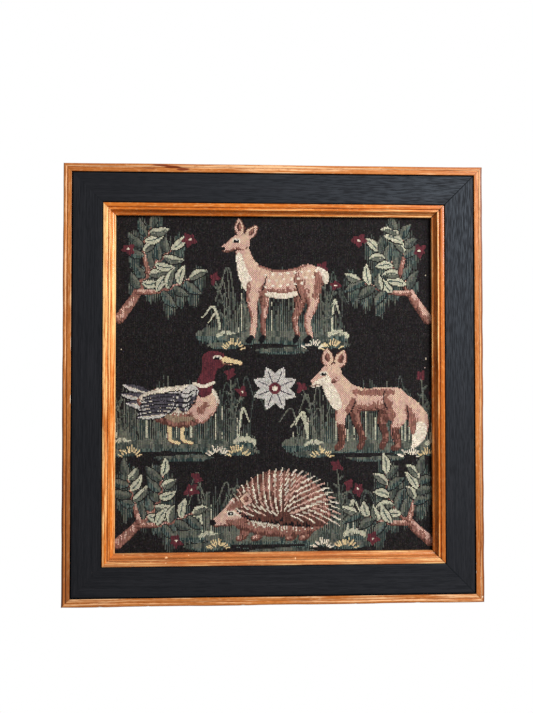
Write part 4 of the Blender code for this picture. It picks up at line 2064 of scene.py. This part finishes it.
STRIP_FLAWS = (
    Flaw(-137, 260.5, 15, 1.6, 0, Mark.KNOT),
    Flaw(-122, 258.5, 15, 2.2, 0, Mark.KNOT),
    Flaw(-110, 256.0, 12, 2.6, 0, Mark.KNOT),
    Flaw(-150, 256.5, 18, 0.9, 0, Mark.KNOT),
    Flaw(-241, -194, 3.0, 1.2, 0.7),
    Flaw(-241, -206, 3.0, 1.2, 0.7),
    Flaw(-241.5, -200, 5.0, 1.6, 0.6, Mark.DENT),
    Flaw(-241.6, 48, 16.0, 0.5, 0.2),
    Flaw(-241.6, -18, 9.0, 0.5, 0.2),
    Flaw(241.5, -216, 2.4, 0.8, 0.4),
    Flaw(241.5, -226, 3.0, 0.8, 0.4),
    Flaw(241.5, 128, 2.0, 0.7, 0.3),
    Flaw(247, -233, 1.6, 0.9, 0.4),
    Flaw(249, -256, 3.0, 1.4, 0.7),
    Flaw(103, 257, 1.6, 0.7, 0.3, Mark.DENT),
    Flaw(-206, -262, 4.0, 1.1, 0.5),
    Flaw(-150, -262, 2.5, 1.0, 0.4),
    Flaw(-38, -262, 3.5, 1.1, 0.5),
    Flaw(96, -262, 2.5, 1.0, 0.4),
    Flaw(171, -262, 5.0, 1.1, 0.5),
)
BAND_FLAWS = (
    Flaw(-220, -229, 3.5, 0.6, 0.2),
    Flaw(-216, -222, 0.9, 0.7, 0.2),
    Flaw(120, -232, 1.1, 0.8, 0.2),
)
MOULDING_FLAWS = (
    Flaw(-129, -206, 2.6, 1.3, 0.4),
    Flaw(-103, -204, 1.6, 0.9, 0.3),
    Flaw(-147, -210, 1.1, 0.7, 0.3),
    Flaw(-129, -211, 1.5, 0.7, 0.3),
    Flaw(-168, -215, 1.4, 0.9, 0.3),
    Flaw(-180, -203, 1.6, 0.7, 0.3),
    Flaw(-196, -209, 1.5, 0.9, 0.3),
    Flaw(-40, -212, 1.0, 0.7, 0.3),
    Flaw(24, -208, 1.2, 3.6, 0.2),
    Flaw(-26, -203, 3.0, 0.8, 0.3, Mark.DENT),
    Flaw(31, -214, 2.2, 1.2, 0.4, Mark.DENT),
    Flaw(121, -214, 1.2, 0.8, 0.4),
    Flaw(126, -207, 1.6, 1.0, 0.3, Mark.DENT),
    Flaw(191.5, 139, 1.4, 0.9, 0.3),
    Flaw(191.5, 20, 1.6, 0.9, 0.3),
    Flaw(196, 118, 1.2, 0.7, 0.3),
)
# How dark the strip's outer part is, per side, at even steps along it.
STRIP_EDGE_DARKENING = (
    (0.30, 0.10, 0, 0.35, 0.50),
    (1.00, 1.00, 0.90, 0.75, 0.60),
    (0.20, 0.30, 0.45, 0.50, 0.55),
    (0.80, 0.65, 0.40, 0.10, 0),
)
# Bleaching per side at even steps, with painted light, shade and highlights.
STRIP_FADING_AND_LIGHT = (
    (-0.05, 0.06, 0.55, 0.04, 0.06),
    (-0.10, 0.04, 0.14, -0.18, -0.26),
    (0.42, 0.42, 0.26, 0.30, 0.48),
    (-0.45, -0.42, -0.10, 0.12, 0.18),
)
# Bleaching per side at even steps, with painted light, shade and highlights.
MOULDING_FADING_AND_LIGHT = (
    (-0.08, -0.06, 0.08, 0.34, 0.30),
    (-0.04, -0.06, -0.14, -0.36, -0.30),
    (0.46, 0.33, 0.22, 0.20, 0.33),
    (0.30, 0.34, 0.46, 0.60, 0.50),
)


def write_sizes() -> None:
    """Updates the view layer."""
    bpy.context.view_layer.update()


def main() -> None:
    """Builds the studio, the rails, the cloth and the board, in that order."""
    logging.basicConfig(level=logging.INFO, format="%(name)s: %(message)s")
    size = FrameSize.read()
    Studio(size).build()
    weathered = AmberPine(
        "outer_amber_pine", pale=(0.60, 0.22, 0.052), mid=(0.46, 0.140, 0.030), late=(0.27, 0.066, 0.010),
        bleached_and_lit=(0.82, 0.485, 0.25), bare=(0.86, 0.68, 0.50), gloss=0.15,
    )
    rings = [
        PineStrip(size, weathered.material(), STRIP_FLAWS, STRIP_FADING_AND_LIGHT, STRIP_EDGE_DARKENING),
        BlackBand(size, BlackPaint().material(), BAND_FLAWS),
        LippedMoulding(size, AmberPine().material(), MOULDING_FLAWS, MOULDING_FADING_AND_LIGHT),
    ]
    solids = [np.array(ring.section()) for ring in rings]
    for ring in rings:
        for rail in ring.build(solids):
            log.info("%s: %d faces", rail.name, len(rail.data.polygons))
    cloth = StretchedCloth(size).build()
    log.info("%s: %d stitches", cloth.name, len(cloth.data.polygons))
    log.info("%s: dressed", BackBoard().dress().name)
    write_sizes()


if __name__ == "__main__":
    main()
